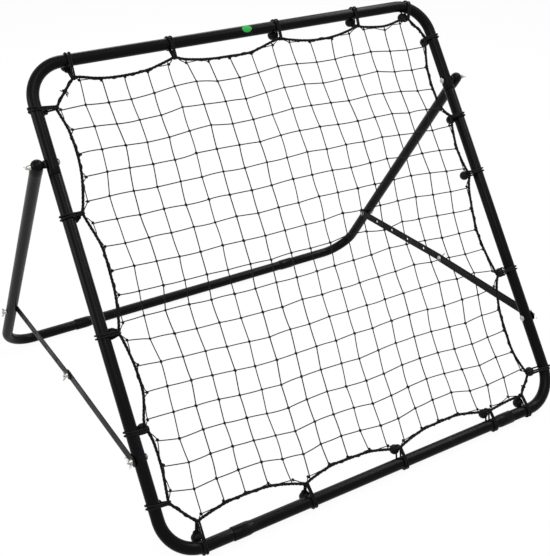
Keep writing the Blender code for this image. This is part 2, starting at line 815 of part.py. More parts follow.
def build_fasteners(side, word, frame, leg, front, back, nut):
    """The bolts of one side, each with its wing nut outside, and the hinge's spacer. The bolt
    at the elbow is in two pieces: its head goes with the front strap, its thread with the rear."""
    zinc = finish("zinc", (0.62, 0.61, 0.58), 0.34, 1.0)
    nylon = finish("nylon", (0.012, 0.012, 0.012), 0.50, 0.0)
    grip = GAP + NUT_T + THREAD_OUT
    frame_in = HALF - TUBE_R - GAP
    strap_in = REAR_STRAP_X - GAP
    leg_out = LEG_X + TUBE_R + GAP
    front_strap_out = FRONT_STRAP_X + STRAP_T + GAP
    rear_strap_out = REAR_STRAP_X + STRAP_T + GAP

    fastened = [
        ("hinge", frame, frame_in, leg_out, HINGE_UP),
        ("lower", frame, frame_in, front_strap_out, LOWER_UP),
        ("leg", leg, strap_in, leg_out, -REAR_PIVOT),
    ]
    for name, parent, head_x, nut_x, z in fastened:
        shank = bolt(nut_x - head_x + grip)
        fit(f"{name}_bolt_{word}", shank, zinc, parent, side, head_x, z)
        wing(f"{name}_nut_{word}", nut, zinc, parent, side, nut_x, z, NUT_TURNS[name])

    head = bolt(STRAP_T + GAP)
    fit(f"strap_bolt_{word}", head, zinc, front, side, FRONT_STRAP_X - GAP, FRONT_STRAP)
    thread = stud(rear_strap_out - REAR_STRAP_X + grip)
    fit(f"strap_stud_{word}", thread, zinc, back, side, REAR_STRAP_X, REAR_STRAP)
    wing(f"strap_nut_{word}", nut, zinc, back, side, rear_strap_out, REAR_STRAP, NUT_TURNS["strap"])

    between = LEG_X - TUBE_R - GAP - (HALF + TUBE_R + GAP)
    spacer = washer(SPACER_D, between)
    fit(f"hinge_spacer_{word}", spacer, nylon, frame, side, HALF + TUBE_R + GAP, HINGE_UP)


def wing(name, nut, material, parent, side, x, z, degrees):
    """A wing nut on its own axis."""
    axis = pivot(f"{name}_axis", parent, (side * x, 0, z), math.radians(degrees))
    fit(name, nut.copy(), material, axis, side)


def build():
    """The whole rebounder."""
    for item in list(bpy.data.objects):
        bpy.data.objects.remove(item)
    paint = finish("black_powder_coat", (0.018, 0.017, 0.017), 0.38, 0.0)
    stand = pivot("rebounder")
    frame = pivot("front_frame", stand, (0, 0, FRONT_Z), -LEAN)
    leg = pivot("leg_hinge", frame, (0, 0, HINGE_UP), OPENING)
    build_frame(paint, frame)
    build_leg(paint, leg)
    nut = wing_nut()
    for side, word in SIDES:
        front, back = build_straps(side, word, frame, leg)
        build_fasteners(side, word, frame, leg, front, back, nut)
    centre_on_floor(stand)


def centre_on_floor(stand):
    """The origin under the middle of the whole rebounder."""
    bpy.context.view_layer.update()
    depths = []
    for item in bpy.data.objects:
        if item.type == "MESH":
            depths += [(item.matrix_world @ corner.co).y for corner in item.data.vertices]
    stand.location.y = -(min(depths) + max(depths)) / 2
    bpy.context.view_layer.update()


build()
print("lean", round(math.degrees(LEAN), 3), "opening", round(math.degrees(OPENING), 3))
for empty in bpy.data.objects:
    if empty.type == "EMPTY":
        print(empty.name, [round(value, 6) for value in empty.matrix_world.translation])
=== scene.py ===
# %% [markdown]
# # Rebounder net
#
# This lesson dresses a finished CAD model: a square frame of bent steel tube with a knotted net
# on ball bungees, leaning back on a folding leg. Each coarse piece of the CAD part gets a smooth,
# detailed stand-in in its place, and a finish made of nodes.

# %% Start
import json
import math

import bmesh
import bpy
import numpy as np
from mathutils import Matrix, Vector
from mathutils.kdtree import KDTree


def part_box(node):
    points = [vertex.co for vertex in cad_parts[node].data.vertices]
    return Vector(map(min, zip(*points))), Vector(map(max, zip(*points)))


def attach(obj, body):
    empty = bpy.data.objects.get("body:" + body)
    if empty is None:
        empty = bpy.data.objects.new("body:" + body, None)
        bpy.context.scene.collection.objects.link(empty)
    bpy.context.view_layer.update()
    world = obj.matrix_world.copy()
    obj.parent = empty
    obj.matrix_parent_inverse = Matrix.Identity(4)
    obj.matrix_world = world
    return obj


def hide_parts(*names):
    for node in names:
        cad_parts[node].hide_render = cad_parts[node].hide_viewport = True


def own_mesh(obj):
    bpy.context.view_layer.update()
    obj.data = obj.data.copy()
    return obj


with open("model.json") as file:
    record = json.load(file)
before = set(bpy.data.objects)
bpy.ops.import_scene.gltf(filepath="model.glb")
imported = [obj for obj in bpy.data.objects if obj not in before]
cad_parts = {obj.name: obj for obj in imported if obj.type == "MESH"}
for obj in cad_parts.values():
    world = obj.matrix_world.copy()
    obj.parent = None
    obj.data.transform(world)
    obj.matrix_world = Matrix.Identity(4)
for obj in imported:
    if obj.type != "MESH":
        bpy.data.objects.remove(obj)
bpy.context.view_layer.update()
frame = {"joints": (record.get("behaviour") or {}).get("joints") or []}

# %% [markdown]
# The frame leans back and the leg leans forward. It is easier to model each upright, with a zero
# of its own, and to put the finished piece in its place once. The frame's zero is on the bottom
# tube's centreline, and the leg's is on the hinge.

# %% The two places
LEAN = math.radians(34.823)
OPENING = math.radians(69.287)
PIVOTS = {joint["name"]: joint["pos_m"] for joint in frame["joints"]}
FRAME_ZERO = (0, -0.440821, 0.01568)

IN_FRAME = Matrix.Translation(FRAME_ZERO) @ Matrix.Rotation(-LEAN, 4, "X")
IN_LEG = Matrix.Translation(PIVOTS["leg_fold"]) @ Matrix.Rotation(OPENING - LEAN, 4, "X")
print("hinge at", [round(v, 4) for v in PIVOTS["leg_fold"]])

# %% [markdown]
# The camera's place and turn were worked out from the corners of the frame, whose proportions
# are known. The picture was cropped off centre, which a small lens shift repeats.

# %% Camera
YAW, PITCH, ROLL = 0.53687, -0.44119, -0.00857
FOCAL_PIXELS, SENSOR_WIDTH = 1012.53, 36
CENTRE_X, CENTRE_Y = 269.92, 215.59
WIDE, HIGH = 550, 556

bpy.ops.object.camera_add(location=(-1.05015, -1.758812, 1.39083))
camera = bpy.context.object
turn = Matrix.Rotation(-YAW, 3, "Z") @ Matrix.Rotation(math.pi / 2 + PITCH, 3, "X")
camera.rotation_euler = (turn @ Matrix.Rotation(ROLL, 3, "Z")).to_euler()
camera.data.sensor_width = SENSOR_WIDTH
camera.data.lens = FOCAL_PIXELS * SENSOR_WIDTH / HIGH
camera.data.shift_x = (WIDE / 2 - CENTRE_X) / HIGH
camera.data.shift_y = (CENTRE_Y - HIGH / 2) / HIGH
bpy.context.scene.camera = camera
print("lens", round(camera.data.lens, 2), "shift", round(camera.data.shift_y, 4))

# %% [markdown]
# Floor, world and finishes are made of nodes. Two helpers do what a hand does in the node
# editor: one feeds a node's inputs, with a link or a plain value, and one adds a node as well.


# %% Nodes
def feed(tree, node, inputs):
    """Feeds inputs by name or number: a socket is linked, a number or an RGB colour is set."""
    for name, value in inputs.items():
        socket = node.inputs[name]
        if isinstance(value, bpy.types.NodeSocket):
            tree.links.new(value, socket)
        else:
            socket.default_value = (*value, 1) if socket.type == "RGBA" else value


def add_node(tree, kind, inputs={}, **settings):
    """Adds a node with these settings, feeds it and gives back its outputs."""
    node = tree.nodes.new("ShaderNode" + kind)
    for name, setting in settings.items():
        setattr(node, name, setting)
    feed(tree, node, inputs)
    return node.outputs


def maths(tree, operation, first, second=0.0):
    """A Math node on two sockets or numbers."""
    return add_node(tree, "Math", {0: first, 1: second}, operation=operation)[0]


def new_material(name, inputs):
    """A material, its tree and its shader, fed with plain values."""
    material = bpy.data.materials.new(name)
    material.use_nodes = True
    shader = material.node_tree.nodes["Principled BSDF"]
    feed(material.node_tree, shader, inputs)
    return material, material.node_tree, shader


print("materials so far", len(bpy.data.materials))

# %% [markdown]
# The photo has a pure white ground with no shadow. The floor here is pale and keeps its shadow;
# only the camera, and mirrors and glass, see the white of the world behind it. Light Path's rays
# tell who is looking.

# %% Floor and world
FLOOR_SIZE, FLOOR_DEPTH, WHITE_SHARE = 40, 0.0004, 0.94
scene = bpy.context.scene
scene.view_settings.view_transform = "Standard"


def seen_rays(tree):
    """One for rays that come from the camera, or from it by way of a mirror or glass."""
    path = add_node(tree, "LightPath")
    mirror = maths(tree, "MAXIMUM", path["Is Camera Ray"], path["Is Glossy Ray"])
    return maths(tree, "MAXIMUM", mirror, path["Is Transmission Ray"])


world = scene.world = bpy.data.worlds.new("studio")
world.use_nodes = True
tree = world.node_tree
tree.nodes.clear()
fill = add_node(tree, "Background", {"Color": (0.93, 0.96, 1.0), "Strength": 0.5})[0]
white = add_node(tree, "Background", {"Color": (1, 1, 1), "Strength": 1.0})[0]
chosen = add_node(tree, "MixShader", {0: seen_rays(tree), 1: fill, 2: white})[0]
add_node(tree, "OutputWorld", {"Surface": chosen})

pale = {"Base Color": (0.9, 0.9, 0.9), "Roughness": 1.0}
floor_paint, tree, matt = new_material("pale_floor", pale)
glow = add_node(tree, "Emission", {"Strength": 1.0})[0]
share = maths(tree, "MULTIPLY", seen_rays(tree), WHITE_SHARE)
either = add_node(tree, "MixShader", {0: share, 1: matt.outputs[0], 2: glow})[0]
feed(tree, tree.nodes["Material Output"], {"Surface": either})

bpy.ops.mesh.primitive_plane_add(size=FLOOR_SIZE, location=(0, 0, -FLOOR_DEPTH))
floor = bpy.context.object
floor.name = "floor"
floor.data.materials.append(floor_paint)
print("floor", floor.dimensions[:2])

# %% [markdown]
# A black tube shows its form only by the light that glances off it. One broad lamp above gives
# the long soft streak on each tube, a weaker one on the left lifts the leg on that side, and one
# behind keeps the rims bright. The top bar has one pale sheen, right of the middle. It comes from
# a long, narrow lamp overhead, whose place sets where the sheen lies along the bar, and whose
# length from front to back sets how far it runs down.

# %% Lamps
LAMPS = {
    # name: place, target, length and width, watts, colour
    "key": ((-0.7, -1.7, 3.3), (0, 0, 0.3), (2.0, 2.0), 44, (1.0, 0.98, 0.95)),
    "strip": ((1.9, -0.1, 3.0), (0.33, -0.1, 0.82), (3.0, 0.3), 62, (0.97, 0.98, 1.0)),
    "side": ((-2.3, 0.3, 1.1), (-0.4, 0.1, 0.3), (1.2, 1.2), 19, (1.0, 0.93, 0.9)),
    "rim": ((1.0, 2.9, 2.4), (0.1, 0, 0.5), (1.6, 1.6), 34, (0.95, 0.98, 1.0)),
}
for name, (place, target, (long, wide), watts, colour) in LAMPS.items():
    bpy.ops.object.light_add(type="AREA", location=place)
    lamp = bpy.context.object
    lamp.name = name
    aim = Vector(target) - Vector(place)
    lamp.rotation_euler = aim.to_track_quat("-Z", "Y").to_euler()
    lamp.data.shape = "RECTANGLE"
    lamp.data.size, lamp.data.size_y = long, wide
    lamp.data.energy = watts
    lamp.data.color = colour
print("lamps", list(LAMPS))

# %% [markdown]
# Paint, powder and moulded plastic all have a fine skin that catches the light. A shared node
# group makes it once: a fine noise gives a height, and a much larger one gives slow changes of
# gloss. Each material sets its own grain and strength.


# %% Group for a fine skin
def noise(tree, vector, scale, detail, roughness):
    """The value of a noise texture on these coordinates."""
    inputs = {"Vector": vector, "Scale": scale, "Detail": detail, "Roughness": roughness}
    return add_node(tree, "TexNoise", inputs)["Fac"]


def spread(tree, value, low, high, to_low, to_high):
    """A value moved from one range to another, and held in it."""
    ranges = {"From Min": low, "From Max": high, "To Min": to_low, "To Max": to_high}
    return add_node(tree, "MapRange", {"Value": value, **ranges})[0]


def new_group(name, inputs, outputs):
    """A shader group for a vector and numbers, the sockets it starts from, and its end."""
    group = bpy.data.node_groups.new(name, "ShaderNodeTree")
    new_socket = group.interface.new_socket
    new_socket(name="Vector", in_out="INPUT", socket_type="NodeSocketVector")
    for label, value in inputs.items():
        socket = new_socket(name=label, in_out="INPUT", socket_type="NodeSocketFloat")
        socket.default_value = value
    for label in outputs:
        new_socket(name=label, in_out="OUTPUT", socket_type="NodeSocketFloat")
    return group, group.nodes.new("NodeGroupInput").outputs, group.nodes.new("NodeGroupOutput")


skin_group, ins, outs = new_group(
    "fine_skin", {"Grain": 900.0, "Patches": 14.0}, ["Height", "Patch"]
)
fine = noise(skin_group, ins["Vector"], ins["Grain"], 3.0, 0.55)
large = noise(skin_group, ins["Vector"], ins["Patches"], 4.0, 0.6)
feed(skin_group, outs, {"Height": fine, "Patch": large})
print("group", skin_group.name)

# %% [markdown]
# Steel parts get rubbed where they are handled. A second group gives a mask of sparse scuffs:
# two noises, one of them stretched, are multiplied, and only their peaks are kept. On the tubes
# the mask lifts tone and gloss, and on the straps the tone alone.

# %% Group for scuffs
scuff_group, ins, outs = new_group("scuffs", {"Amount": 0.5, "Size": 40.0}, ["Mask"])
stretched = add_node(scuff_group, "Mapping", {"Vector": ins["Vector"], "Scale": (1.0, 1.0, 0.25)})
first = noise(scuff_group, stretched["Vector"], ins["Size"], 6.0, 0.7)
second = noise(scuff_group, ins["Vector"], 7.0, 3.0, 0.5)
peak = spread(scuff_group, maths(scuff_group, "MULTIPLY", first, second), 0.33, 0.42, 0.0, 1.0)
feed(scuff_group, outs, {"Mask": maths(scuff_group, "MULTIPLY", peak, ins["Amount"])})
print("group", scuff_group.name)

# %% [markdown]
# Twine, cord and elastic are twisted or braided from thin yarn. The third group makes that lay
# from a piece's own UV map, where U runs along the cord and V round it: two waves that lean
# opposite ways make a braid, and one alone makes a twist. Its Shade output is painted shade:
# darker in the grooves between the yarns, lighter on their crests.

# %% Group for the lay of a cord
lay_group, ins, outs = new_group(
    "cord_lay", {"Along": 100.0, "Round": 2.0, "Braid": 1.0}, ["Height", "Shade"]
)
split = add_node(lay_group, "SeparateXYZ", {"Vector": ins["Vector"]})
along = maths(lay_group, "MULTIPLY", split["X"], ins["Along"])
around = maths(lay_group, "MULTIPLY", split["Y"], ins["Round"])
waves = []
for way in ("ADD", "SUBTRACT"):
    circle = maths(lay_group, "MULTIPLY", maths(lay_group, way, along, around), 2 * math.pi)
    waves.append(spread(lay_group, maths(lay_group, "SINE", circle), -1.0, 1.0, 0.0, 1.0))
crossed = maths(lay_group, "MAXIMUM", *waves)
choice = {"Factor": ins["Braid"], "A": waves[0], "B": crossed}
height = add_node(lay_group, "Mix", choice)["Result"]
# Shade is painted shade from the height: the grooves between the yarns darker, the crests lighter.
feed(lay_group, outs, {"Height": height, "Shade": spread(lay_group, height, 0.2, 1.0, 0.55, 1.15)})
print("group", lay_group.name)

# %% [markdown]
# The tubes are powder coated: a hard, even black with a satin gloss and a faint orange-peel skin.
# Powder is a plastic film, so the metal under it doesn't show and Metallic stays at zero. All
# hard finishes are put together in the same way, so one function takes their tones, gloss and
# wear.


def use_group(tree, group, vector, values):
    """The outputs of a shared group, with its values."""
    return add_node(tree, "Group", {"Vector": vector, **values}, node_tree=group)


def two_tones(tree, share, dark, light):
    """A colour between two, by a mask."""
    inputs = {"Factor": share, "A": dark, "B": light}
    return add_node(tree, "Mix", inputs, data_type="RGBA")["Result"]


def raised(tree, height, distance, strength):
    """The normal of a skin that stands up by a height."""
    inputs = {"Height": height, "Distance": distance, "Strength": strength}
    return add_node(tree, "Bump", inputs)["Normal"]


def hard_finish(name, grain, tones, gloss, bump, inputs, wear=None):
    """A finish whose patches change its tone and gloss. Grain is (fine, patches), and wear is
    (amount, size, rubbed tone, how much smoother it gets)."""
    material, tree, shader = new_material(name, inputs)
    where = add_node(tree, "TexCoord")["Object"]
    skin = use_group(tree, skin_group, where, {"Grain": grain[0], "Patches": grain[1]})
    tone = two_tones(tree, skin["Patch"], *tones)
    roughness = spread(tree, skin["Patch"], 0.3, 0.7, *gloss)
    if wear:
        amount, size, rubbed, smoother = wear
        scuffs = use_group(tree, scuff_group, where, {"Amount": amount, "Size": size})["Mask"]
        tone = two_tones(tree, scuffs, tone, rubbed)
        polish = maths(tree, "MULTIPLY", scuffs, smoother)
        roughness = maths(tree, "SUBTRACT", roughness, polish)
    normal = raised(tree, skin["Height"], *bump)
    feed(tree, shader, {"Base Color": tone, "Roughness": roughness, "Normal": normal})
    return material


SPECULAR = "Specular IOR Level"
powder = hard_finish(
    "powder_coat", (1100.0, 9.0),
    [(0.0016, 0.0014, 0.0015), (0.0028, 0.0025, 0.0025)], (0.27, 0.34), (0.00012, 0.35),
    {SPECULAR: 0.06}, wear=(0.5, 55.0, (0.016, 0.0145, 0.0145), 0.08),
)
print("finish", powder.name)

# %% [markdown]
# The straps are flat bar in a thinner, greyer paint, with finer and denser scuffs.

# %% Strap paint
bar_paint = hard_finish(
    "bar_paint", (700.0, 22.0),
    [(0.0042, 0.0041, 0.0043), (0.0075, 0.0073, 0.0077)], (0.38, 0.54), (0.0001, 0.3),
    {SPECULAR: 0.06}, wear=(0.9, 90.0, (0.019, 0.019, 0.0203), 0.0),
)
print("finish", bar_paint.name)

# %% [markdown]
# Bolts and wing nuts are zinc plated: a pale, slightly yellow metal. Its clouds are the patches
# of the skin group, which move both the tone and the roughness.

# %% Zinc
zinc = hard_finish(
    "zinc_plate", (1500.0, 160.0),
    [(0.22, 0.217, 0.205), (0.52, 0.51, 0.48)], (0.2, 0.36), (0.00005, 0.3), {"Metallic": 1.0},
)
print("finish", zinc.name)

# %% [markdown]
# The balls and the spacers are moulded from black plastic, duller than the tubes. The sticker
# on the top bar is green vinyl, left bare.

# %% Moulded plastic and vinyl
PLASTIC_PATCHES, PLASTIC_BUMP = 45.0, 0.4
ball_plastic = hard_finish(
    "ball_plastic", (900.0, PLASTIC_PATCHES),
    [(0.003, 0.0026, 0.0026), (0.007, 0.006, 0.006)], (0.44, 0.56), (0.0001, PLASTIC_BUMP),
    {SPECULAR: 0.1},
)
black_nylon = hard_finish(
    "black_nylon", (700.0, PLASTIC_PATCHES),
    [(0.006, 0.006, 0.006), (0.011, 0.011, 0.011)], (0.39, 0.51), (0.0001, PLASTIC_BUMP),
    {SPECULAR: 0.1},
)
green_vinyl = hard_finish(
    "green_vinyl", (300.0, PLASTIC_PATCHES),
    [(0.015, 0.27, 0.04), (0.03, 0.37, 0.07)], (0.34, 0.46), (0.00003, PLASTIC_BUMP),
    {SPECULAR: 0.1},
)

# %% [markdown]
# Net, border cord and bungees share the lay group, with their own counts. Fuzzy yarn has no
# clear highlight, so the roughness is high, and a little sheen gives the fibres' pale edge.


# %% Twine, cord and elastic
def yarn(name, tones, lay, depth, roughness):
    """A twisted or braided cord. Lay is (turns along, turns round, braid)."""
    material, tree, shader = new_material(
        name, {SPECULAR: 0.08, "Roughness": roughness, "Sheen Weight": 0.02, "Sheen Roughness": 0.5}
    )
    where = add_node(tree, "TexCoord")
    lay = use_group(tree, lay_group, where["UV"], dict(zip(("Along", "Round", "Braid"), lay)))
    skin = use_group(tree, skin_group, where["Object"], {"Grain": 2600.0, "Patches": 60.0})
    # The lay's painted shade, darker in the grooves and lighter on the crests, times the random
    # patches, picks between the dark and the light tone.
    share = maths(tree, "MULTIPLY", lay["Shade"], skin["Patch"])
    fuzz = maths(tree, "MULTIPLY", skin["Height"], 0.25)
    normal = raised(tree, maths(tree, "ADD", lay["Height"], fuzz), depth, 0.8)
    feed(tree, shader, {"Base Color": two_tones(tree, share, *tones), "Normal": normal})
    return material


net_twine = yarn(
    "net_twine", [(0.003, 0.0025, 0.0025), (0.013, 0.011, 0.011)],
    (300.0, 2.0, 0.0), 0.0003, 0.7,
)
border_yarn = yarn(
    "border_yarn", [(0.0025, 0.0025, 0.0025), (0.009, 0.0085, 0.0085)],
    (320.0, 2.0, 0.0), 0.0004, 0.75,
)
elastic = yarn(
    "woven_elastic", [(0.002, 0.002, 0.002), (0.007, 0.0065, 0.007)],
    (340.0, 4.0, 1.0), 0.0002, 0.65,
)

# %% [markdown]
# A bent tube could be a curve with a bevel, but its ends need rims, sockets and a closed dome.
# So each tube is grown in edit mode: a ring of edges is extruded along the straights, spun round
# the bends, and widened or narrowed where the real tube was swaged. Its wall comes last.

# %% Growing a tube from a ring
TUBE_R, TUBE_WALL, CORNER_R = 0.0125, 0.0012, 0.076
TUBE_SIDES, BEND_STEPS = 40, 20


def only(*pieces):
    """Selects these pieces and nothing else, the first of them active."""
    bpy.ops.object.select_all(action="DESELECT")
    for piece in pieces:
        piece.select_set(True)
    bpy.context.view_layer.objects.active = pieces[0]


def edit_all():
    """Into edit mode, with everything selected."""
    bpy.ops.object.mode_set(mode="EDIT")
    bpy.ops.mesh.select_all(action="SELECT")


def leave_edit():
    """Back to object mode."""
    bpy.ops.object.mode_set(mode="OBJECT")


def turned_to(way):
    """The turn that brings Z to a way."""
    return Vector(way).to_track_quat("Z", "Y").to_euler()


def start_ring(centre, facing, radius, sides):
    """A ring of edges round an axis, in edit mode, all of it selected."""
    bpy.ops.mesh.primitive_circle_add(
        vertices=sides, radius=radius, location=centre, rotation=turned_to(facing)
    )
    bpy.ops.object.transform_apply()
    edit_all()
    bpy.ops.mesh.select_mode(type="VERT")
    return bpy.context.object


def picked(piece):
    """The middle of what is selected in edit mode."""
    shape = bmesh.from_edit_mesh(piece.data)
    chosen = [v.co for v in shape.verts if v.select]
    return sum(chosen, Vector()) / len(chosen)


def push(x=0, z=0):
    """Extrudes what is selected."""
    bpy.ops.mesh.extrude_region_move(TRANSFORM_OT_translate={"value": (x, 0, z)})


def widen(piece, factor):
    """Scales what is selected about its own middle."""
    bpy.ops.transform.resize(value=(factor, factor, factor), center_override=picked(piece))


def grow(piece, axis, radius, stops):
    """Extrudes a ring along an axis, from its radius now to each (place, radius) in turn."""
    for place, next_radius in stops:
        push(**{axis: place - getattr(picked(piece), axis)})
        if next_radius != radius:
            widen(piece, next_radius / radius)
        radius = next_radius


def plain(*places):
    """Stops at the tube's own radius."""
    return [(place, TUBE_R) for place in places]


def round_corner(centre):
    """Spins what is selected by a right angle about Y, from +X towards +Z."""
    bpy.ops.mesh.spin(steps=BEND_STEPS, angle=math.pi / 2, center=centre, axis=(0, 1, 0))


print("tube", TUBE_R * 2000, "mm across")

# %% [markdown]
# A grown skin becomes a tube in the same way each time. Doubles are merged, the faces are turned
# out, Solidify gives the wall inwards, and a small bevel softens the rims. Holes are drilled with
# a Boolean before the bevel, so that they get a soft edge as well.

# %% Walls, holes and rims
HOLE_R, HOLE_SIDES = 0.0033, 20
SAME_SPOT, SPLINTER = 0.000002, 0.00002


def merge_near(distance):
    """Merges what lies closer together than this, all over the active piece."""
    edit_all()
    bpy.ops.mesh.remove_doubles(threshold=distance)
    leave_edit()


def close_up(fill=False):
    """Merges doubles, fills open ends if asked, turns the faces out and leaves edit mode."""
    bpy.ops.mesh.select_all(action="SELECT")
    bpy.ops.mesh.remove_doubles(threshold=SAME_SPOT)
    if fill:
        bpy.ops.mesh.fill_holes(sides=0)
        bpy.ops.mesh.select_all(action="SELECT")
    bpy.ops.mesh.normals_make_consistent(inside=False)
    leave_edit()


def apply_modifier(piece, kind, **settings):
    """Adds a modifier with these settings and applies it."""
    only(piece)
    step = piece.modifiers.new("step", kind)
    for name, value in settings.items():
        setattr(step, name, value)
    bpy.ops.object.modifier_apply(modifier="step")


def combine(piece, other, operation):
    """A Boolean with another piece, which is used up."""
    apply_modifier(piece, "BOOLEAN", operation=operation, solver="EXACT", object=other)
    bpy.data.objects.remove(other)


def drill(piece, centre, depth):
    """A bolt hole along X. Splinters by its rims are merged, or they stop the bevel."""
    bpy.ops.mesh.primitive_cylinder_add(
        vertices=HOLE_SIDES, radius=HOLE_R, depth=depth, location=centre,
        rotation=turned_to((1, 0, 0)),
    )
    combine(piece, bpy.context.object, "DIFFERENCE")
    merge_near(SPLINTER)


def smooth(piece, degrees):
    """Smooth shading, but for edges sharper than this."""
    only(piece)
    bpy.ops.object.shade_smooth_by_angle(angle=math.radians(degrees))


def soften(piece, width, segments=2, from_angle=50):
    """Bevels the sharp edges and smooths the rest."""
    apply_modifier(
        piece, "BEVEL", width=width, segments=segments, limit_method="ANGLE",
        angle_limit=math.radians(from_angle), use_clamp_overlap=True,
    )
    smooth(piece, 32)


def make_tube(piece, rim, holes=(), depth=0.06):
    """Turns a grown skin into a tube with a wall, bolt holes and soft rims."""
    close_up()
    apply_modifier(piece, "SOLIDIFY", thickness=TUBE_WALL, offset=-1, use_even_offset=True)
    for hole in holes:
        drill(piece, hole, depth)
    soften(piece, rim)


print("bolt holes", HOLE_R * 2000, "mm")

# %% [markdown]
# A finished piece is put in its place for good: the place goes into its mesh, and its object
# stays at the origin. Most pieces come in pairs, and the left one is a mirror copy.


# %% Finishing a piece
def finish_piece(piece, name, place, material, body, *nodes):
    """Puts a piece in its place for good, names it, gives it its finish and hides the CAD nodes
    that it stands for.
    """
    only(piece)
    piece.name = piece.data.name = name
    piece.matrix_world = place
    bpy.ops.object.transform_apply()
    piece.data.materials.clear()
    piece.data.materials.append(material)
    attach(piece, body)
    if nodes:
        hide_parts(*nodes)
    size = np.ptp([v.co for v in piece.data.vertices], axis=0)
    print(name, [round(1000 * float(s), 1) for s in size], "mm,", len(piece.data.polygons), "faces")


def copied(piece):
    """A copy with its own mesh."""
    copy = piece.copy()
    copy.data = piece.data.copy()
    bpy.context.collection.objects.link(copy)
    return copy


def mirrored(piece):
    """A copy on the other side of the middle, its faces turned out again."""
    only(piece)
    bpy.ops.object.duplicate()
    copy = bpy.context.object
    copy.parent = None
    copy.scale.x = -1
    bpy.ops.object.transform_apply()
    edit_all()
    bpy.ops.mesh.flip_normals()
    leave_edit()
    return copy


def both_sides(piece, name, place, material, body, node):
    """Finishes a piece for the right side, and its mirror copy on the left."""
    for word in ("right", "left"):
        side_body = body if body in ("root", "leg") else f"{body}_{word}"
        finish_piece(piece, f"{name}_{word}", place, material, side_body, f"{node}_{word}")
        if word == "right":
            piece, place = mirrored(piece), Matrix()


# %% [markdown]
# The top bar is one tube with both upper corners. Its open ends, a little below the hinges, show
# as a fine line round each upright, where the lower tubes go up into them. A short ring of faces
# is kept round each bolt hole.

# %% Top bar
HALF = 0.4875
JOINT_UP, HINGE_UP, LOWER_UP = 0.755, 0.779, 0.1944
BAND = 0.010
BAR_RIM, TUBE_RIM = 0.00035, 0.00025
inner, top_bend = HALF - CORNER_R, 2 * HALF - CORNER_R

top_bar = start_ring((HALF, 0, JOINT_UP), (0, 0, 1), TUBE_R, TUBE_SIDES)
grow(top_bar, "z", TUBE_R, plain(HINGE_UP - BAND, HINGE_UP + BAND, top_bend))
round_corner((inner, 0, top_bend))
push(x=-2 * inner)
round_corner((-inner, 0, top_bend))
grow(top_bar, "z", TUBE_R, plain(HINGE_UP + BAND, HINGE_UP - BAND, JOINT_UP))
make_tube(top_bar, BAR_RIM, [(0, 0, HINGE_UP)], 2 * HALF + 0.1)
finish_piece(top_bar, "top_bar", IN_FRAME, powder, "root", "top_tube")

# %% [markdown]
# Each lower upright has one corner. Its top was swaged: pressed to a smaller size, with a short
# shoulder, so that it slips into the top bar. Its foot goes into the bottom bar's socket.

# %% Uprights
BOTTOM_RIM, SOCKET_DEPTH, FOOT_GAP = 0.355, 0.032, 0.003
SWAGE_R, SWAGE_END = TUBE_R - TUBE_WALL - 0.0003, JOINT_UP + 0.044
shoulder = JOINT_UP - 0.0013

foot = BOTTOM_RIM - SOCKET_DEPTH + FOOT_GAP
upright = start_ring((foot, 0, 0), (1, 0, 0), TUBE_R, TUBE_SIDES)
push(x=inner - foot)
round_corner((inner, 0, CORNER_R))
grow(upright, "z", TUBE_R, plain(LOWER_UP - BAND, LOWER_UP + BAND, shoulder) + [
    (shoulder + 0.0003, TUBE_R * 0.985), (shoulder + 0.0007, TUBE_R * 0.985 * 0.965),
    (shoulder + 0.0010, SWAGE_R), (HINGE_UP - BAND, SWAGE_R), (HINGE_UP + 0.008, SWAGE_R),
    (SWAGE_END - 0.0012, SWAGE_R), (SWAGE_END, SWAGE_R * 0.93),
])
make_tube(upright, TUBE_RIM, [(HALF, 0, HINGE_UP), (HALF, 0, LOWER_UP)])
both_sides(upright, "upright", IN_FRAME, powder, "root", "side_tube")

# %% [markdown]
# The bottom bar and the bar on the floor are straight tubes whose ends were opened out into
# sockets. The opening is an S-shaped flare, made of short pushes whose widths follow a smooth
# step, because a plain cone would show a hard line.

# %% Bars with sockets
SOCKET_R, FLARE, FLARE_STEPS = 0.0140, 0.012, 6
REAR_RIM = 0.330


def flare(x, start, end):
    """Stops of a smooth change from one radius to another, from x on."""
    shares = [step / FLARE_STEPS for step in range(1, FLARE_STEPS + 1)]
    return [(x + FLARE * s, start + (end - start) * s * s * (3 - 2 * s)) for s in shares]


def socket_bar(rim):
    """A straight bar with a socket at each end, along X."""
    bar = start_ring((-rim, 0, 0), (1, 0, 0), SOCKET_R, TUBE_SIDES)
    mouth, neck = rim - SOCKET_DEPTH, rim - SOCKET_DEPTH - FLARE
    stops = [(-mouth, SOCKET_R)] + flare(-mouth, SOCKET_R, TUBE_R)
    stops += plain(neck) + flare(neck, TUBE_R, SOCKET_R) + [(rim, SOCKET_R)]
    grow(bar, "x", SOCKET_R, stops)
    make_tube(bar, BAR_RIM)
    return bar


finish_piece(socket_bar(BOTTOM_RIM), "bottom_bar", IN_FRAME, powder, "root", "bottom_tube")
rear_low, rear_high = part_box("rear_tube")
on_floor = Matrix.Translation((0, (rear_low.y + rear_high.y) / 2, (rear_low.z + rear_high.z) / 2))
finish_piece(socket_bar(REAR_RIM), "floor_bar", on_floor, powder, "leg", "rear_tube")

# %% [markdown]
# A leg is one tube with a corner at the foot. Its top was pressed closed into a dome about the
# hinge bolt, half a millimetre fuller than the tube, which shows as a fine shoulder below the
# bolt. The dome is grown as shrinking rings and merged to a pole.

# %% Legs
LEG_X, LEG_LENGTH, REAR_PIVOT = 0.517, 0.778, 0.5885
FULLER_FROM, DOME_R = -0.0235, TUBE_R + 0.00052
dome_angles = [math.radians(10.5 * ring) for ring in range(1, 9)]

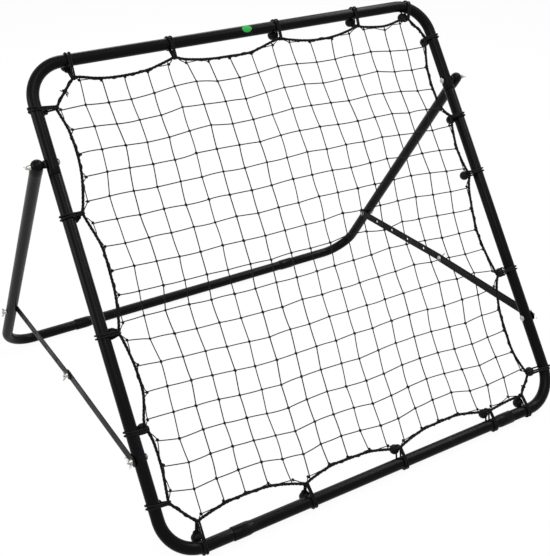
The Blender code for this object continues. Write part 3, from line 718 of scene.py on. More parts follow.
foot = REAR_RIM - SOCKET_DEPTH + FOOT_GAP
leg_inner = LEG_X - CORNER_R
leg_tube = start_ring((foot, 0, -LEG_LENGTH), (1, 0, 0), TUBE_R, TUBE_SIDES)
push(x=leg_inner - foot)
round_corner((leg_inner, 0, CORNER_R - LEG_LENGTH))
stops = plain(-REAR_PIVOT - BAND, -REAR_PIVOT + BAND, FULLER_FROM)
stops += [(FULLER_FROM + 0.0004, TUBE_R + 0.0001), (FULLER_FROM + 0.0010, TUBE_R + 0.0004)]
stops += [(FULLER_FROM + 0.0015, DOME_R), (-BAND, DOME_R), (0, DOME_R)]
stops += [(DOME_R * math.sin(angle), DOME_R * math.cos(angle)) for angle in dome_angles]
grow(leg_tube, "z", TUBE_R, stops + [(DOME_R, stops[-1][1])])
bpy.ops.mesh.merge(type="CENTER")
make_tube(leg_tube, TUBE_RIM, [(LEG_X, 0, 0), (LEG_X, 0, -REAR_PIVOT)])
both_sides(leg_tube, "leg", IN_LEG, powder, "leg", "leg_tube")

# %% [markdown]
# The straps are flat bar, cut off in a round at each end and punched. A circle is stretched to
# the bar's ends, filled and given its thickness, and the holes are cut with a Boolean. The rear
# strap has a row of holes, so that the frame can stand at other angles.

# %% Straps
FRONT_STRAP, HOLE_PITCH, STRAP_T = 0.327, 0.068, 0.0018
REAR_STRAP = 5 * HOLE_PITCH
FRONT_X, REAR_X = 0.5003, 0.5024
END_R, END_SIDES = 0.012, 44


def bar_place(start, end):
    """Where a bar lies that was made along Z from its pivot, by the pivots at its two ends."""
    lean = math.atan2(start[1] - end[1], end[2] - start[2])
    return Matrix.Translation((0, start[1], start[2])) @ Matrix.Rotation(lean, 4, "X")


def flat_bar(x, length, height, holes):
    """A flat bar with round ends, along Z from its pivot."""
    bar = start_ring((x, 0, 0), (1, 0, 0), END_R, END_SIDES)
    bpy.ops.transform.resize(value=(1, height / (2 * END_R), 1), center_override=(x, 0, 0))
    shape = bmesh.from_edit_mesh(bar.data)
    for corner in shape.verts:
        corner.select = corner.co.z > 0.0001
    shape.select_flush_mode()
    bmesh.update_edit_mesh(bar.data)
    bpy.ops.transform.translate(value=(0, 0, length))
    bpy.ops.mesh.select_all(action="SELECT")
    bpy.ops.mesh.edge_face_add()
    push(x=STRAP_T)
    close_up(fill=True)
    for hole in holes:
        drill(bar, (x, 0, hole), 0.02)
    soften(bar, 0.00035, segments=3)
    return bar


elbow = PIVOTS["strap_nut_right_turn"]
IN_FRONT_STRAP = bar_place(PIVOTS["front_strap_right_turn"], elbow)
IN_REAR_STRAP = bar_place(PIVOTS["rear_strap_right_turn"], elbow)
front_bar = flat_bar(FRONT_X, FRONT_STRAP, 0.022, (0, FRONT_STRAP))
both_sides(front_bar, "front_bar", IN_FRONT_STRAP, bar_paint, "front_strap", "front_strap")
rear_bar = flat_bar(REAR_X, REAR_STRAP, 0.020, [HOLE_PITCH * k for k in range(6)])
both_sides(rear_bar, "rear_bar", IN_REAR_STRAP, bar_paint, "rear_strap", "rear_strap")

# %% [markdown]
# All bolts are carriage bolts: a low dome outside, a square neck under it that bites into its
# hole, and a thread that comes through the wing nut. A turned piece is grown ring by ring, as a
# tube is, and the thread is a row of rings a millimetre apart.

# %% Turned pieces and bolts
BOLT_SIDES, SHANK_R, NECK_HALF, NECK_LENGTH = 28, 0.0029, 0.0043, 0.0023
THREAD_PITCH, CREST_R, ROOT_R, POINT = 0.001, 0.00295, 0.00262, 0.0006
HEAD_R, HEAD_T = 0.00675, 0.0038
DOME = [
    (-HEAD_T, 0.0006), (-HEAD_T * 0.97, 0.0022), (-HEAD_T * 0.86, 0.0038),
    (-HEAD_T * 0.66, 0.0052), (-HEAD_T * 0.4, 0.0062), (-0.0007, HEAD_R), (-0.0002, HEAD_R),
    (0, HEAD_R - 0.0003),
]
GRIP = 0.0103
FRAME_IN, LEG_IN, STRAP_OUT, LEG_OUT = 0.4747, 0.5021, 0.5024, 0.5298


def turned_piece(stops, sides=BOLT_SIDES):
    """A piece grown along X from (x, radius) stops, with its open ends filled."""
    piece = start_ring((stops[0][0], 0, 0), (1, 0, 0), stops[0][1], sides)
    grow(piece, "x", stops[0][1], stops[1:])
    close_up(fill=True)
    return piece


def joined(*pieces):
    """Several shells as one piece."""
    only(*pieces)
    bpy.ops.object.join()
    return pieces[0]


def thread(start, end):
    """Stops of a thread from start to end, with a chamfer at its end."""
    stops, x = [], start
    while x + THREAD_PITCH < end - POINT:
        for forward, radius in ((0.35, CREST_R), (0.5, CREST_R), (0.85, ROOT_R), (1, ROOT_R)):
            stops.append((x + THREAD_PITCH * forward, radius))
        x += THREAD_PITCH
    return stops + [(end - POINT, 0.0027), (end, 0.0021)]


def carriage_bolt(length, threaded):
    """A bolt with its head's seat at x = 0 and its shank towards +X."""
    shank = [(0, SHANK_R), (length - threaded, SHANK_R)]
    rod = turned_piece(DOME + shank + thread(length - threaded, length))
    neck = start_ring((-0.0001, 0, 0), (1, 0, 0), NECK_HALF, 4)
    push(x=NECK_LENGTH)
    bpy.ops.mesh.select_all(action="SELECT")
    bpy.ops.transform.rotate(value=math.radians(45), orient_axis="X", center_override=(0, 0, 0))
    close_up(fill=True)
    return joined(rod, neck)


def small_edges(piece, width=0.00012):
    """The fine edge of a small turned piece."""
    soften(piece, width, segments=1, from_angle=60)


def along_x(x, up=0.0):
    """A shift to a bolt's seat."""
    return Matrix.Translation((x, 0, up))


for name, place, up, seat, end, threaded, body in (
    ("hinge", IN_FRAME, HINGE_UP, FRAME_IN, LEG_OUT, 0.020, "root"),
    ("lower", IN_FRAME, LOWER_UP, FRAME_IN, STRAP_OUT, 0.014, "root"),
    ("leg", IN_LEG, -REAR_PIVOT, LEG_IN, LEG_OUT, 0.014, "leg"),
):
    bolt = carriage_bolt(end - seat + GRIP, threaded)
    small_edges(bolt)
    both_sides(bolt, f"bolt_{name}", place @ along_x(seat, up), zinc, body, f"{name}_bolt")

# %% [markdown]
# The bolt at the elbow holds two straps that turn against each other. In the CAD part its head
# turns with the front strap and its thread with the rear one, so here too it is two pieces that
# meet inside the holes.

# %% Elbow bolts
BOTH_STRAPS = 0.0021
head = turned_piece(DOME + [(0, SHANK_R), (BOTH_STRAPS, SHANK_R)])
small_edges(head)
seat = IN_FRONT_STRAP @ along_x(0.5000, FRONT_STRAP)
both_sides(head, "bolt_elbow", seat, zinc, "front_strap", "strap_bolt")
stud = turned_piece([(0, SHANK_R)] + thread(0.0002, BOTH_STRAPS + GRIP))
small_edges(stud)
seat = IN_REAR_STRAP @ along_x(REAR_X, REAR_STRAP)
both_sides(stud, "stud_elbow", seat, zinc, "rear_strap", "strap_stud")

# %% [markdown]
# A wing nut is a cone with a bore and two ears. The cone is a turned piece whose bore comes back
# to its first ring. An ear starts as a filled circle, is stretched and leant outwards, thickened
# and rounded, and its twin is the same ear turned half round.

# %% Wing nut
EAR_R, EAR_T, EAR_X, EAR_Y = 0.0036, 0.0016, 0.0072, 0.0086
EAR_STRETCH, EAR_LEAN = (0.62, 1.25, 1), 0.5
NUT_STOPS = [
    (0.0004, 0.0055), (0.0012, 0.0055), (0.0030, 0.0050), (0.0060, 0.0043), (0.0071, 0.0041),
    (0.0075, 0.0038), (0.0075, 0.0034), (0.0071, 0.0030), (0.0004, 0.0030), (0.0000, 0.0034),
    (0.0000, 0.0050), (0.0004, 0.0055),
]


def ear():
    """One ear in the XY plane, on the +Y side."""
    bpy.ops.mesh.primitive_circle_add(
        vertices=28, radius=EAR_R, fill_type="NGON", location=(EAR_X, EAR_Y, -EAR_T / 2)
    )
    bpy.ops.object.transform_apply()
    piece = bpy.context.object
    edit_all()
    bpy.ops.transform.resize(value=EAR_STRETCH, center_override=(EAR_X, EAR_Y, 0))
    shape = bmesh.from_edit_mesh(piece.data)
    for corner in shape.verts:
        corner.co.x += EAR_LEAN * (corner.co.y - EAR_Y)
    bmesh.update_edit_mesh(piece.data)
    push(z=EAR_T)
    close_up(fill=True)
    apply_modifier(
        piece, "BEVEL", width=0.0005, segments=3, limit_method="ANGLE",
        angle_limit=math.radians(50),
    )
    return piece


cone = turned_piece(NUT_STOPS)
first_ear, second_ear = ear(), ear()
only(second_ear)
edit_all()
bpy.ops.transform.rotate(value=math.pi, orient_axis="X", center_override=(0, 0, 0))
leave_edit()
for wing in (first_ear, second_ear):
    combine(cone, wing, "UNION")
small_edges(cone, 0.00015)
print("wing nut", len(cone.data.polygons), "faces")

# %% [markdown]
# The eight nuts were left at turns of their own, a pair at each height. The model is copied with
# its mesh, turned and put on its axis, which the CAD part's joints give.

# %% Wing nuts in place
NUT_TURNS = {
    "hinge_nut": (IN_FRAME, 25), "lower_nut": (IN_FRAME, 65),
    "leg_nut": (IN_LEG, 70), "strap_nut": (IN_REAR_STRAP, 15),
}
for name, (place, degrees) in NUT_TURNS.items():
    turn = Matrix.Rotation(place.to_euler().x + math.radians(degrees), 4, "X")
    for body, nut in ((f"{name}_right", copied(cone)), (f"{name}_left", mirrored(cone))):
        spot = Matrix.Translation(PIVOTS[f"{body}_turn"])
        finish_piece(nut, f"wing_{body}", spot @ turn, zinc, body, body)
bpy.data.objects.remove(cone)

# %% [markdown]
# Between upright and leg a nylon washer keeps paint off paint: a turned ring with rounded rims.

# %% Hinge washers
WASHER_STOPS = [
    (0.0003, 0.0080), (0.0036, 0.0080), (0.0039, 0.0077), (0.0039, 0.0035), (0.0036, 0.0032),
    (0.0003, 0.0032), (0.0000, 0.0035), (0.0000, 0.0077), (0.0003, 0.0080),
]
washer = turned_piece(WASHER_STOPS, 40)
small_edges(washer, 0.0001)
seat = IN_FRAME @ along_x(FRONT_X, HINGE_UP)
both_sides(washer, "washer_hinge", seat, black_nylon, "root", "hinge_spacer")

# %% [markdown]
# Next comes the border cord, which the net hangs in. Its line was read off the photograph: the
# cord is drawn out to a point at each bungee and hangs in between two of them. Each line of the
# table is a bungee: its place along the tube, the point that it draws the cord to, and where its
# ball came to rest, along the tube, to the back and into the net. All are in millimetres.

# %% Where the bungees pull
TIE_TABLE = """
top     -395.9  -398  937    1.2  22.9     5
top     -174.6  -174  944   -4.9  22.8  -5.4
top       83.2    83  946    2.2  19.8  12.5
top      293.5   290  945      4  19.7  12.7
top      441.2   432  941    3.1   9.2  23.1
right      887   465  885   -2.6  21.9   8.4
right    688.8   464  689   -1.6  22.1   7.7
right    551.3   461  550   -2.1   9.2  32.7
right      310   447  310   -0.3   9.2  25.3
right       71   436   75    1.2   9.2    35
bottom  -416.4  -416   47   -5.1  15.8  17.3
bottom  -172.6  -177   34     -5  21.6   9.2
bottom    54.6    53   29   -6.2   9.2  29.4
bottom   301.3   300   30   -8.2   9.2  26.8
bottom   401.7   396   34   -4.8  15.6  18.5
left       890  -449  883      4  19.3  13.3
left       670  -460  670      3  16.6  16.6
left       434  -459  431    0.6   9.5  21.4
left       246  -460  241    1.2   9.2  24.6
left       106  -460  100      3  21.5   9.5
"""
OUTWARD = {"left": (-1, 0, 0), "right": (1, 0, 0), "top": (0, 0, 1), "bottom": (0, 0, -1)}
MIDDLE = Vector((0, 0, HALF))

ties = {}
for line in TIE_TABLE.strip().splitlines():
    side, *numbers = line.split()
    along, x, up, *rest = map(float, numbers)
    number = 1 + sum(side == other for other, _ in ties)
    ties[side, number] = (along, (x, up), Vector(rest) / 1000)


def rim_spot(side, along):
    """A point on the tube's centreline, and the way into the net there. Past the straight part
    it goes round the corner."""
    out = Vector(OUTWARD[side])
    beside = Vector((abs(out.z), 0, abs(out.x)))
    from_middle = along / 1000 - HALF * abs(out.x)
    way = math.copysign(1, from_middle)
    angle = max(0.0, abs(from_middle) - inner) / CORNER_R
    shift = way * (min(abs(from_middle), inner) + CORNER_R * math.sin(angle))
    reach = HALF - CORNER_R * (1 - math.cos(angle))
    inward = -out * math.cos(angle) - beside * way * math.sin(angle)
    return MIDDLE + out * reach + beside * shift, inward


print("bungees", len(ties))

# %% [markdown]
# The net has seventeen knots each way. Each was found in the photograph and brought back to the
# plane of the net, because a net of even squares would look like wire. The table has two lines
# for each row, from the top: how far across, and how far up, each knot lies from its place in an
# even net, in millimetres. A row starts and ends on the border cord, and so does a column, whose
# two ends are in the first and the last pair of lines.

# %% The knots
KNOT_TABLE = """
10 5 4 7 6 -2 0 2 6 13 9 11 19 19 14 21 18
10 0 -3 0 8 9 0 -2 -1 13 12 3 2 8 12 6 13
-2 6 5 4 7 6 8 6 10 8 11 10 11 11 13 12 15 14 19
-1 1 -3 -5 -1 5 7 -1 -2 1 7 5 0 -1 1 1 -6 -11 -11
10 11 8 8 7 9 9 10 9 12 10 12 10 12 11 12 9 8 4
6 4 0 -1 0 8 5 2 -1 4 7 6 0 1 0 2 -7 -11 -12
12 12 13 10 10 8 10 10 11 10 13 12 13 11 13 8 8 5 0
5 5 3 0 1 5 8 1 1 3 7 5 2 -2 0 -2 -6 -13 -16
9 9 7 8 7 8 6 10 10 14 13 16 14 17 15 14 11 12 7
8 8 6 3 2 6 5 3 0 4 5 4 0 -2 -2 -3 -10 -11 -16
-2 -1 1 2 5 4 5 6 11 12 15 15 17 15 17 14 10 9 19
9 9 8 5 5 4 5 2 3 3 5 1 1 -2 -1 -5 -9 -13 -13
-3 0 -1 2 1 4 3 6 5 10 9 12 11 14 11 14 10 10 11
13 11 8 8 5 5 4 2 2 4 3 2 -2 -2 -2 -9 -10 -13 -19
5 2 3 2 3 2 3 4 5 5 9 8 11 8 11 10 13 10 17
14 10 9 7 7 5 6 1 2 1 3 1 -1 -2 -3 -4 -9 -15 -20
6 6 4 4 1 3 2 4 3 5 3 4 3 4 3 4 2 3 8
14 12 9 6 4 5 3 1 1 1 0 4 0 -1 -2 -4 -10 -14 -16
5 1 3 0 0 -2 1 0 1 -1 0 -2 -2 -6 -3 -7 -5 -8 -3
15 11 9 7 6 3 2 -1 1 -1 -1 5 1 -7 0 -5 -9 -13 -16
-4 -4 -8 -6 -7 -4 -5 -4 -4 -3 -7 -7 -9 -8 -11 -10 -12 -12 -10
12 12 10 8 4 2 0 0 -2 -2 -2 -2 -2 1 -2 -6 -11 -13 -16
-5 -6 -4 -6 -5 -6 -5 -8 -7 -8 -8 -10 -9 -12 -9 -12 -11 -14 -8
25 15 11 7 5 1 -1 -3 0 -3 -3 -3 -3 -3 -1 -7 -9 -13 -14
1 2 -1 -2 -5 -4 -7 -6 -9 -8 -10 -10 -11 -10 -12 -9 -9 -7 2
22 16 12 9 4 0 -4 -2 -4 -2 -4 -4 -4 -4 -5 -6 -11 -10 -19
2 0 1 -3 -3 -8 -7 -10 -9 -10 -11 -14 -12 -13 -12 -16 -13 -16 -7
19 17 13 9 4 -1 -3 -3 -3 -5 -3 -5 -3 -3 -5 -9 -9 -11 -6
-11 -3 -5 -5 -9 -9 -14 -14 -16 -14 -19 -17 -19 -18 -21 -20 -25 -24 -21
19 16 13 10 4 0 -4 -2 -2 -4 -7 -4 -2 -2 -4 -8 -12 -8 -9
-5 -7 -5 -8 -9 -14 -14 -18 -17 -20 -19 -22 -21 -22 -22 -26 -26 -28 -24
25 14 15 12 7 1 -3 0 1 -3 -6 -5 -1 -1 -3 -8 -11 -9 -7
-7 -3 -5 -6 -9 -10 -15 -16 -19 -18 -21 -21 -24 -22 -23 -24 -25 -24 -23
25 15 16 14 10 4 -2 2 2 0 -6 -4 0 2 -1 -6 -12 -8 -10
-10 -8 -8 -9 -7 -11 -13 -18 -17 -20 -19 -22 -23 -24 -21 -22 -21 -21 -10
27 14 17 17 15 5 -1 5 5 1 -5 -5 2 5 5 -7 -9 -7 -4
-8 -6 -9 -7 -6 -15 -14 -17 -14 -19 -24 -23 -26 -23 -18 -30 -26
8 17 18 16 2 -4 6 6 4 -5 -8 3 5 4 -6 -13 -9
"""
KNOTS, MESH = 17, 49
FIRST_X, TOP_UP = -445, 926
NET_FRONT = 0.0055


def knot_row(number, across, up):
    """The places of a row's knots, from its two lines of the table."""
    shifts = [(int(a), int(b)) for a, b in zip(across.split(), up.split())]
    start = FIRST_X + (0 if len(shifts) > KNOTS else MESH)
    return [(start + MESH * k + a, TOP_UP - MESH * number + b) for k, (a, b) in enumerate(shifts)]


def in_net(x, up, forward=0.0):
    """A point of the net's plane from millimetres."""
    return Vector((x / 1000, -NET_FRONT - forward, up / 1000))


lines = KNOT_TABLE.strip().splitlines()
top_ends, *rows, bottom_ends = [
    knot_row(number, *lines[2 * number:2 * number + 2]) for number in range(KNOTS + 2)
]
ends = {
    "left": [row[0] for row in rows], "right": [row[-1] for row in rows],
    "top": top_ends, "bottom": bottom_ends,
}
columns = [
    [top_ends[k]] + [row[k + 1] for row in rows] + [bottom_ends[k]] for k in range(KNOTS)
]
print("rows", len(rows), "columns", len(columns), "knots", len(rows) * KNOTS)

# %% [markdown]
# The cord's line goes by the ends of all the strings and through every bungee. Where the lacing
# is slack, the cord runs a few millimetres outside the strings. Between two bungees it is one
# smooth curve, and at a bungee it turns sharply.

# %% The border cord's line
SLACK = {
    "left": [1.5, 2.8, 2.1, 3.6, 4.8, 5, 1, 1.6, 2.9, 3.5, 3.8, 2.3, 2.9, 4, 4, 1, 2.5],
    "right": [0] * KNOTS,
    "top": [0, 0, 0, 0, 3.5, 0, 1, 1, 0.5, 1, 1, 0, 0, 1.5, 0.5, 0, 0],
    "bottom": [0, 0, 0, 1, 0, 0, 0, 0, 1, 2.5, 0, 0, 0, 0, 2, 0, 0],
}
CORD_STEP = 0.0028
posts = {key: post for key, (_, post, _) in ties.items()}


def scallops(side, backwards):
    """The stretches of cord between the bungees of one side."""
    over, _, out = OUTWARD[side]
    axis = 0 if out else 1

    def in_order(spots):
        """Sorted along the tube."""
        return sorted(spots, key=lambda spot: spot[axis], reverse=backwards)

    beyond = [(x + over * s, up + out * s) for (x, up), s in zip(ends[side], SLACK[side])]
    corners = in_order(posts[side, number] for number in range(1, 6))
    stretches = []
    for here, there in zip(corners, corners[1:]):
        low, high = sorted((here[axis], there[axis]))
        between = in_order(spot for spot in beyond if low + 3 < spot[axis] < high - 3)
        stretches.append([here] + between + [there])
    return stretches


def smooth_line(points, steps):
    """A curve through points, with as many steps between two of them."""
    spots = [points[0]] + list(points) + [points[-1]]
    line = []
    for a, b, c, d in zip(spots, spots[1:], spots[2:], spots[3:]):
        for t in (step / steps for step in range(steps)):
            line.append(
                b + (c - a) * 0.5 * t
                + (a * 2 - b * 5 + c * 4 - d) * 0.5 * t * t
                + (b * 3 - a - c * 3 + d) * 0.5 * t * t * t
            )
    return line + [points[-1]]


def evenly(line, gap):
    """The same line in even steps."""
    steps = [(b - a).length for a, b in zip(line, line[1:])]
    count = max(2, round(sum(steps) / gap))
    marks = np.concatenate(([0.0], np.cumsum(steps)))
    wanted = np.linspace(0, marks[-1], count + 1)
    axes = [np.interp(wanted, marks, [p[k] for p in line]) for k in range(3)]
    return [Vector(spot) for spot in zip(*axes)]


loop = scallops("top", False)
loop.append([posts["top", 5], (445, 921), (456, 904), posts["right", 1]])
loop += scallops("right", True)
loop.append([posts["right", 5], (416, 54), posts["bottom", 5]])
loop += scallops("bottom", True)
loop.append([posts["bottom", 1], (-438, 73), posts["left", 5]])
loop += scallops("left", False)
loop.append([posts["left", 1], (-424, 911), posts["top", 1]])
cord_line = []
for stretch in loop:
    cord_line += smooth_line([in_net(*spot) for spot in stretch], 10)[:-1]
cord_line = evenly(cord_line + [cord_line[0]], CORD_STEP)[:-1]
around = CORD_STEP * len(cord_line)
print("border cord", round(around, 2), "m round")

# %% [markdown]
# A rope is best made as a curve with a round bevel, turned into a mesh afterwards. Its UV map
# runs from nought to one along each spline, so U is put into metres, by the length of the route
# up to the nearest of its points. Then the lay of the yarn is the same everywhere.


# %% Cords from routes
def cord_piece(name, routes, radius, roundness, closed=False):
    """One mesh of round cords along routes, with U in metres along each of them."""
    curve = bpy.data.curves.new(name, "CURVE")
    curve.dimensions = "3D"
    curve.bevel_depth = radius
    curve.bevel_resolution = roundness
    curve.use_fill_caps = True
    spots = []
    for route in routes:
        line = curve.splines.new("POLY")
        line.points.add(len(route) - 1)
        line.use_cyclic_u = closed
        length = 0.0
        for before, spot, point in zip([route[0]] + route, route, line.points):
            length += (spot - before).length
            point.co = (*spot, 1)
            spots.append((spot, length))
    piece = bpy.data.objects.new(name, curve)
    bpy.context.collection.objects.link(piece)
    only(piece)
    bpy.ops.object.convert(target="MESH")
    piece = bpy.context.object
    tree = KDTree(len(spots))
    for index, (spot, _) in enumerate(spots):
        tree.insert(spot, index)
    tree.balance()
    along = [spots[tree.find(v.co)[1]][1] for v in piece.data.vertices]
    layer = piece.data.uv_layers[0]
    for corner in piece.data.loops:
        layer.data[corner.index].uv.x = along[corner.vertex_index]
    merge_near(SAME_SPOT)
    smooth(piece, 60)
    return piece


def wound(line, radius, pitch, turn=0.0):
    """A route that winds round a closed flat line."""
    route = []
    length = 0.0
    for index, spot in enumerate(line):
        after = line[(index + 1) % len(line)]
        ahead = (after - line[index - 1]).normalized()
        beside = Vector((ahead.z, 0, -ahead.x))
        angle = 2 * math.pi * length / pitch + turn
        coil = beside * radius * math.cos(angle) + Vector((0, radius * math.sin(angle), 0))
        route.append(spot + coil)
        length += (after - spot).length
    return route


STRANDS, STRAND_R, STRAND_OUT, ROPE_TURN = 3, 0.0019, 0.00125, 0.024
pitch = around / round(around / ROPE_TURN)
strands = [wound(cord_line, STRAND_OUT, pitch, 2 * math.pi * k / STRANDS) for k in range(STRANDS)]
border = cord_piece("border", strands, STRAND_R, 1, closed=True)
finish_piece(border, "border_rope", IN_FRAME, border_yarn, "root", "border_cord")

# %% [markdown]
# The outer meshes are laced to the cord: a twine of its own winds round it and is drawn away
# from it at the end of each string. Next to a bungee, where the cord turns sharply, the twine
# cuts the corner and leaves a long open V. That gives the border its broken edge.

# %% Lacing
LACING_R, LACING_OUT, LACING_TURN, LEAST_PULL = 0.0010, 0.0034, 0.041, 0.0037
LONG_VS = {("top", 15): 9.5}
SHORT_ARM, LONG_ARM, NEAR_POST = 4, 13, 16
PULL, POST_PULL, UNEVEN, WHOLLY_DRAWN = 4.2, 7.2, 0.8, 0.004
steps_round = len(cord_line)


def nearest_step(spot):
    """The step of the cord's line that lies nearest to a point."""
    return min(range(steps_round), key=lambda k: (cord_line[k] - spot).length)


def inside_of(k):
    """The way into the net at a step of the cord's line."""
    ahead = (cord_line[(k + 1) % steps_round] - cord_line[k - 1]).normalized()
    return Vector((ahead.z, 0, -ahead.x))


post_steps = [nearest_step(in_net(*post)) for post in posts.values()]
pull = [0.0] * steps_round
tips = []
for side in ("left", "right", "top", "bottom"):
    for number, spot in enumerate(ends[side]):
        step = nearest_step(in_net(*spot))
        before = min((step - post) % steps_round for post in post_steps)
        after = min((post - step) % steps_round for post in post_steps)
        depth = PULL + UNEVEN * math.sin(number * 2.3) + SLACK[side][number]
        arms = [SHORT_ARM, SHORT_ARM]
        if min(before, after) < NEAR_POST:
            depth = max(depth, POST_PULL + UNEVEN * math.sin(number * 1.7))
            arms = [min(max(gap - 1, 3), LONG_ARM) for gap in (before, after)]
        if (side, number) in LONG_VS:
            depth, arms = LONG_VS[side, number], [LONG_ARM, LONG_ARM]
        tips.append(cord_line[step] + inside_of(step) * depth / 1000)
        for shift in range(-arms[0], arms[1] + 1):
            share = 1 - abs(shift) / (arms[shift > 0] + 0.5)
            k = (step + shift) % steps_round
            pull[k] = max(pull[k], depth / 1000 * share)

winding = wound(cord_line, LACING_OUT, around / round(around / LACING_TURN))
for k, coil in enumerate(winding):
    if pull[k]:
        drawn = cord_line[k] + inside_of(k) * max(pull[k], LEAST_PULL)
        winding[k] = coil.lerp(drawn, min(1.0, pull[k] / WHOLLY_DRAWN))
lacing = cord_piece("lacing", [winding], LACING_R, 1, closed=True)
finish_piece(lacing, "border_lacing", IN_FRAME, net_twine, "root", "border_cord")

# %% [markdown]
# The strings of the net are taut, with a little bow between two knots. Rows lie a hair in front
# of columns, and both dip into the knots. Random numbers come from a seeded generator, so that
# each run gives the same net.

# %% Strings
chance = np.random.default_rng(17)
TWINE_R, BOW, BOW_STEPS, OVERLAP = 0.0012, 0.5, 4, 0.0004


def string(points, forward):
    """A string through its knots, slightly bowed between them."""
    route = []
    for start, end in zip(points, points[1:]):
        bow = chance.normal(0, BOW, 2)
        for step in range(BOW_STEPS):
            share = step / BOW_STEPS
            lift = 4 * share * (1 - share)
            x, up = (a + (b - a) * share + c * lift for a, b, c in zip(start, end, bow))
            route.append(in_net(x, up, forward * lift))
    return route + [in_net(*points[-1])]


routes = [string(row, OVERLAP) for row in rows] + [string(column, -OVERLAP) for column in columns]
strings = cord_piece("strings", routes, TWINE_R, 1)
print("strings", len(routes))

# %% [markdown]
# At every crossing the strings are knotted. A knot is two short bights hooked through each
# other, modelled once with few faces, because the net has more than three hundred. The copies
# get a turn and a size of their own, and are joined with the strings into one net.

# %% Knots
bight = [
    Vector((math.cos(a) * 0.0015, math.sin(a * 0.5) * 0.0010, math.sin(a) * 0.0019))
    for a in np.linspace(-2.4, 2.4, 6)
]
hook = Matrix.Rotation(math.pi, 4, "Y") @ Matrix.Rotation(math.radians(80), 4, "X")
knot = cord_piece("knot", [bight, [hook @ spot for spot in bight]], 0.00105, 0)
net = [strings]


def tie_knot(spot, swing, *sizes):
    """A copy of the knot, turned by chance, and of a size between two by chance."""
    copy = copied(knot)
    turn = Matrix.Rotation(math.radians(float(chance.uniform(-swing, swing))), 4, "Y")
    size = float(chance.uniform(*sizes)) if len(sizes) == 2 else sizes[0]
    copy.data.transform(Matrix.Translation(spot) @ turn @ Matrix.Scale(size, 4))
    net.append(copy)


for row in rows:
    for spot in row[1:-1]:
        tie_knot(in_net(*spot), 35, 1.15, 1.4)
for spot in tips:
    tie_knot(spot, 60, 1.3)
bpy.data.objects.remove(knot)
net = joined(*net)
smooth(net, 70)
finish_piece(net, "knotted_net", IN_FRAME, net_twine, "root", "net")

# %% [markdown]
# In the upper left corner the border cord was knotted on to itself, and its two ends stick out,
# frayed. The lacing was tied off in two other corners. Each knot is a tight trefoil, and its
# ends open into loose yarns, which lie close along the cord.

# %% The cord's own knots
CORD_KNOTS = [
    # place, size, and the way of each loose yarn
    ((-423, 913), 0.72, [(0.35, -0.85)] * 4 + [(-0.95, 0.22)] * 2),
    ((444, 920), 0.6, [(-0.8, 0.3)] * 3),
    ((455, 905), 0.65, [(0.3, 0.5)] * 3),
    ((413, 51), 0.6, [(-0.7, 0.4)] * 3),
]
knot_parts = []
for place, size, aims in CORD_KNOTS:
    centre = in_net(*place)
    trefoil = []
    for a in np.linspace(0, 2 * math.pi, 40, endpoint=False):
        over, rise = math.sin(a) + 2 * math.sin(2 * a), math.cos(a) - 2 * math.cos(2 * a)
        trefoil.append(centre + Vector((over, math.sin(3 * a) * 1.15, rise)) * 0.0019 * size)
    tails = []
    for over, rise in aims:
        aim = Vector((over, 0, rise)) + Vector(chance.normal(0, 0.14, 3))
        curl = Vector(chance.normal(0, 0.0012, 3))
        tails.append([
            centre + aim * (0.003 + 0.0115 * t) * size + curl * math.sin(3 * t)
            for t in np.linspace(0, 1, 8)
        ])
    knot_parts.append(cord_piece("trefoil", [trefoil], 0.0021 * size, 1, closed=True))
    knot_parts.append(cord_piece("fray", tails, 0.0009, 0))
cord_knots = joined(*knot_parts)
finish_piece(cord_knots, "border_knots", IN_FRAME, border_yarn, "root", "border_cord")

# %% [markdown]
# A ball bungee is one length of elastic whose two ends come out of a ball. The doubled elastic
# goes over the border cord, down and round the tube, and its loop is hooked over the ball from
# behind. So two strands lie side by side on the tube, draw together at the cord, and open out
# again round the neck of the ball.

# %% The route of the elastic
ELASTIC_R, BALL_R, CLEARANCE = 0.0019, 0.0105, 0.0001
TUBE_TURN, CORD_TURN = TUBE_R + 0.0003 + ELASTIC_R, 0.0042
NECK_OUT, NECK_R, HOOK_FROM = 0.0109, 0.0060, math.radians(-55)


def over_cord(slant, reach):
    """Where the elastic lies on the border cord: X along the tube, Y back, Z into the net."""
    return Vector((slant, -NET_FRONT + 0.001, reach + 0.003))


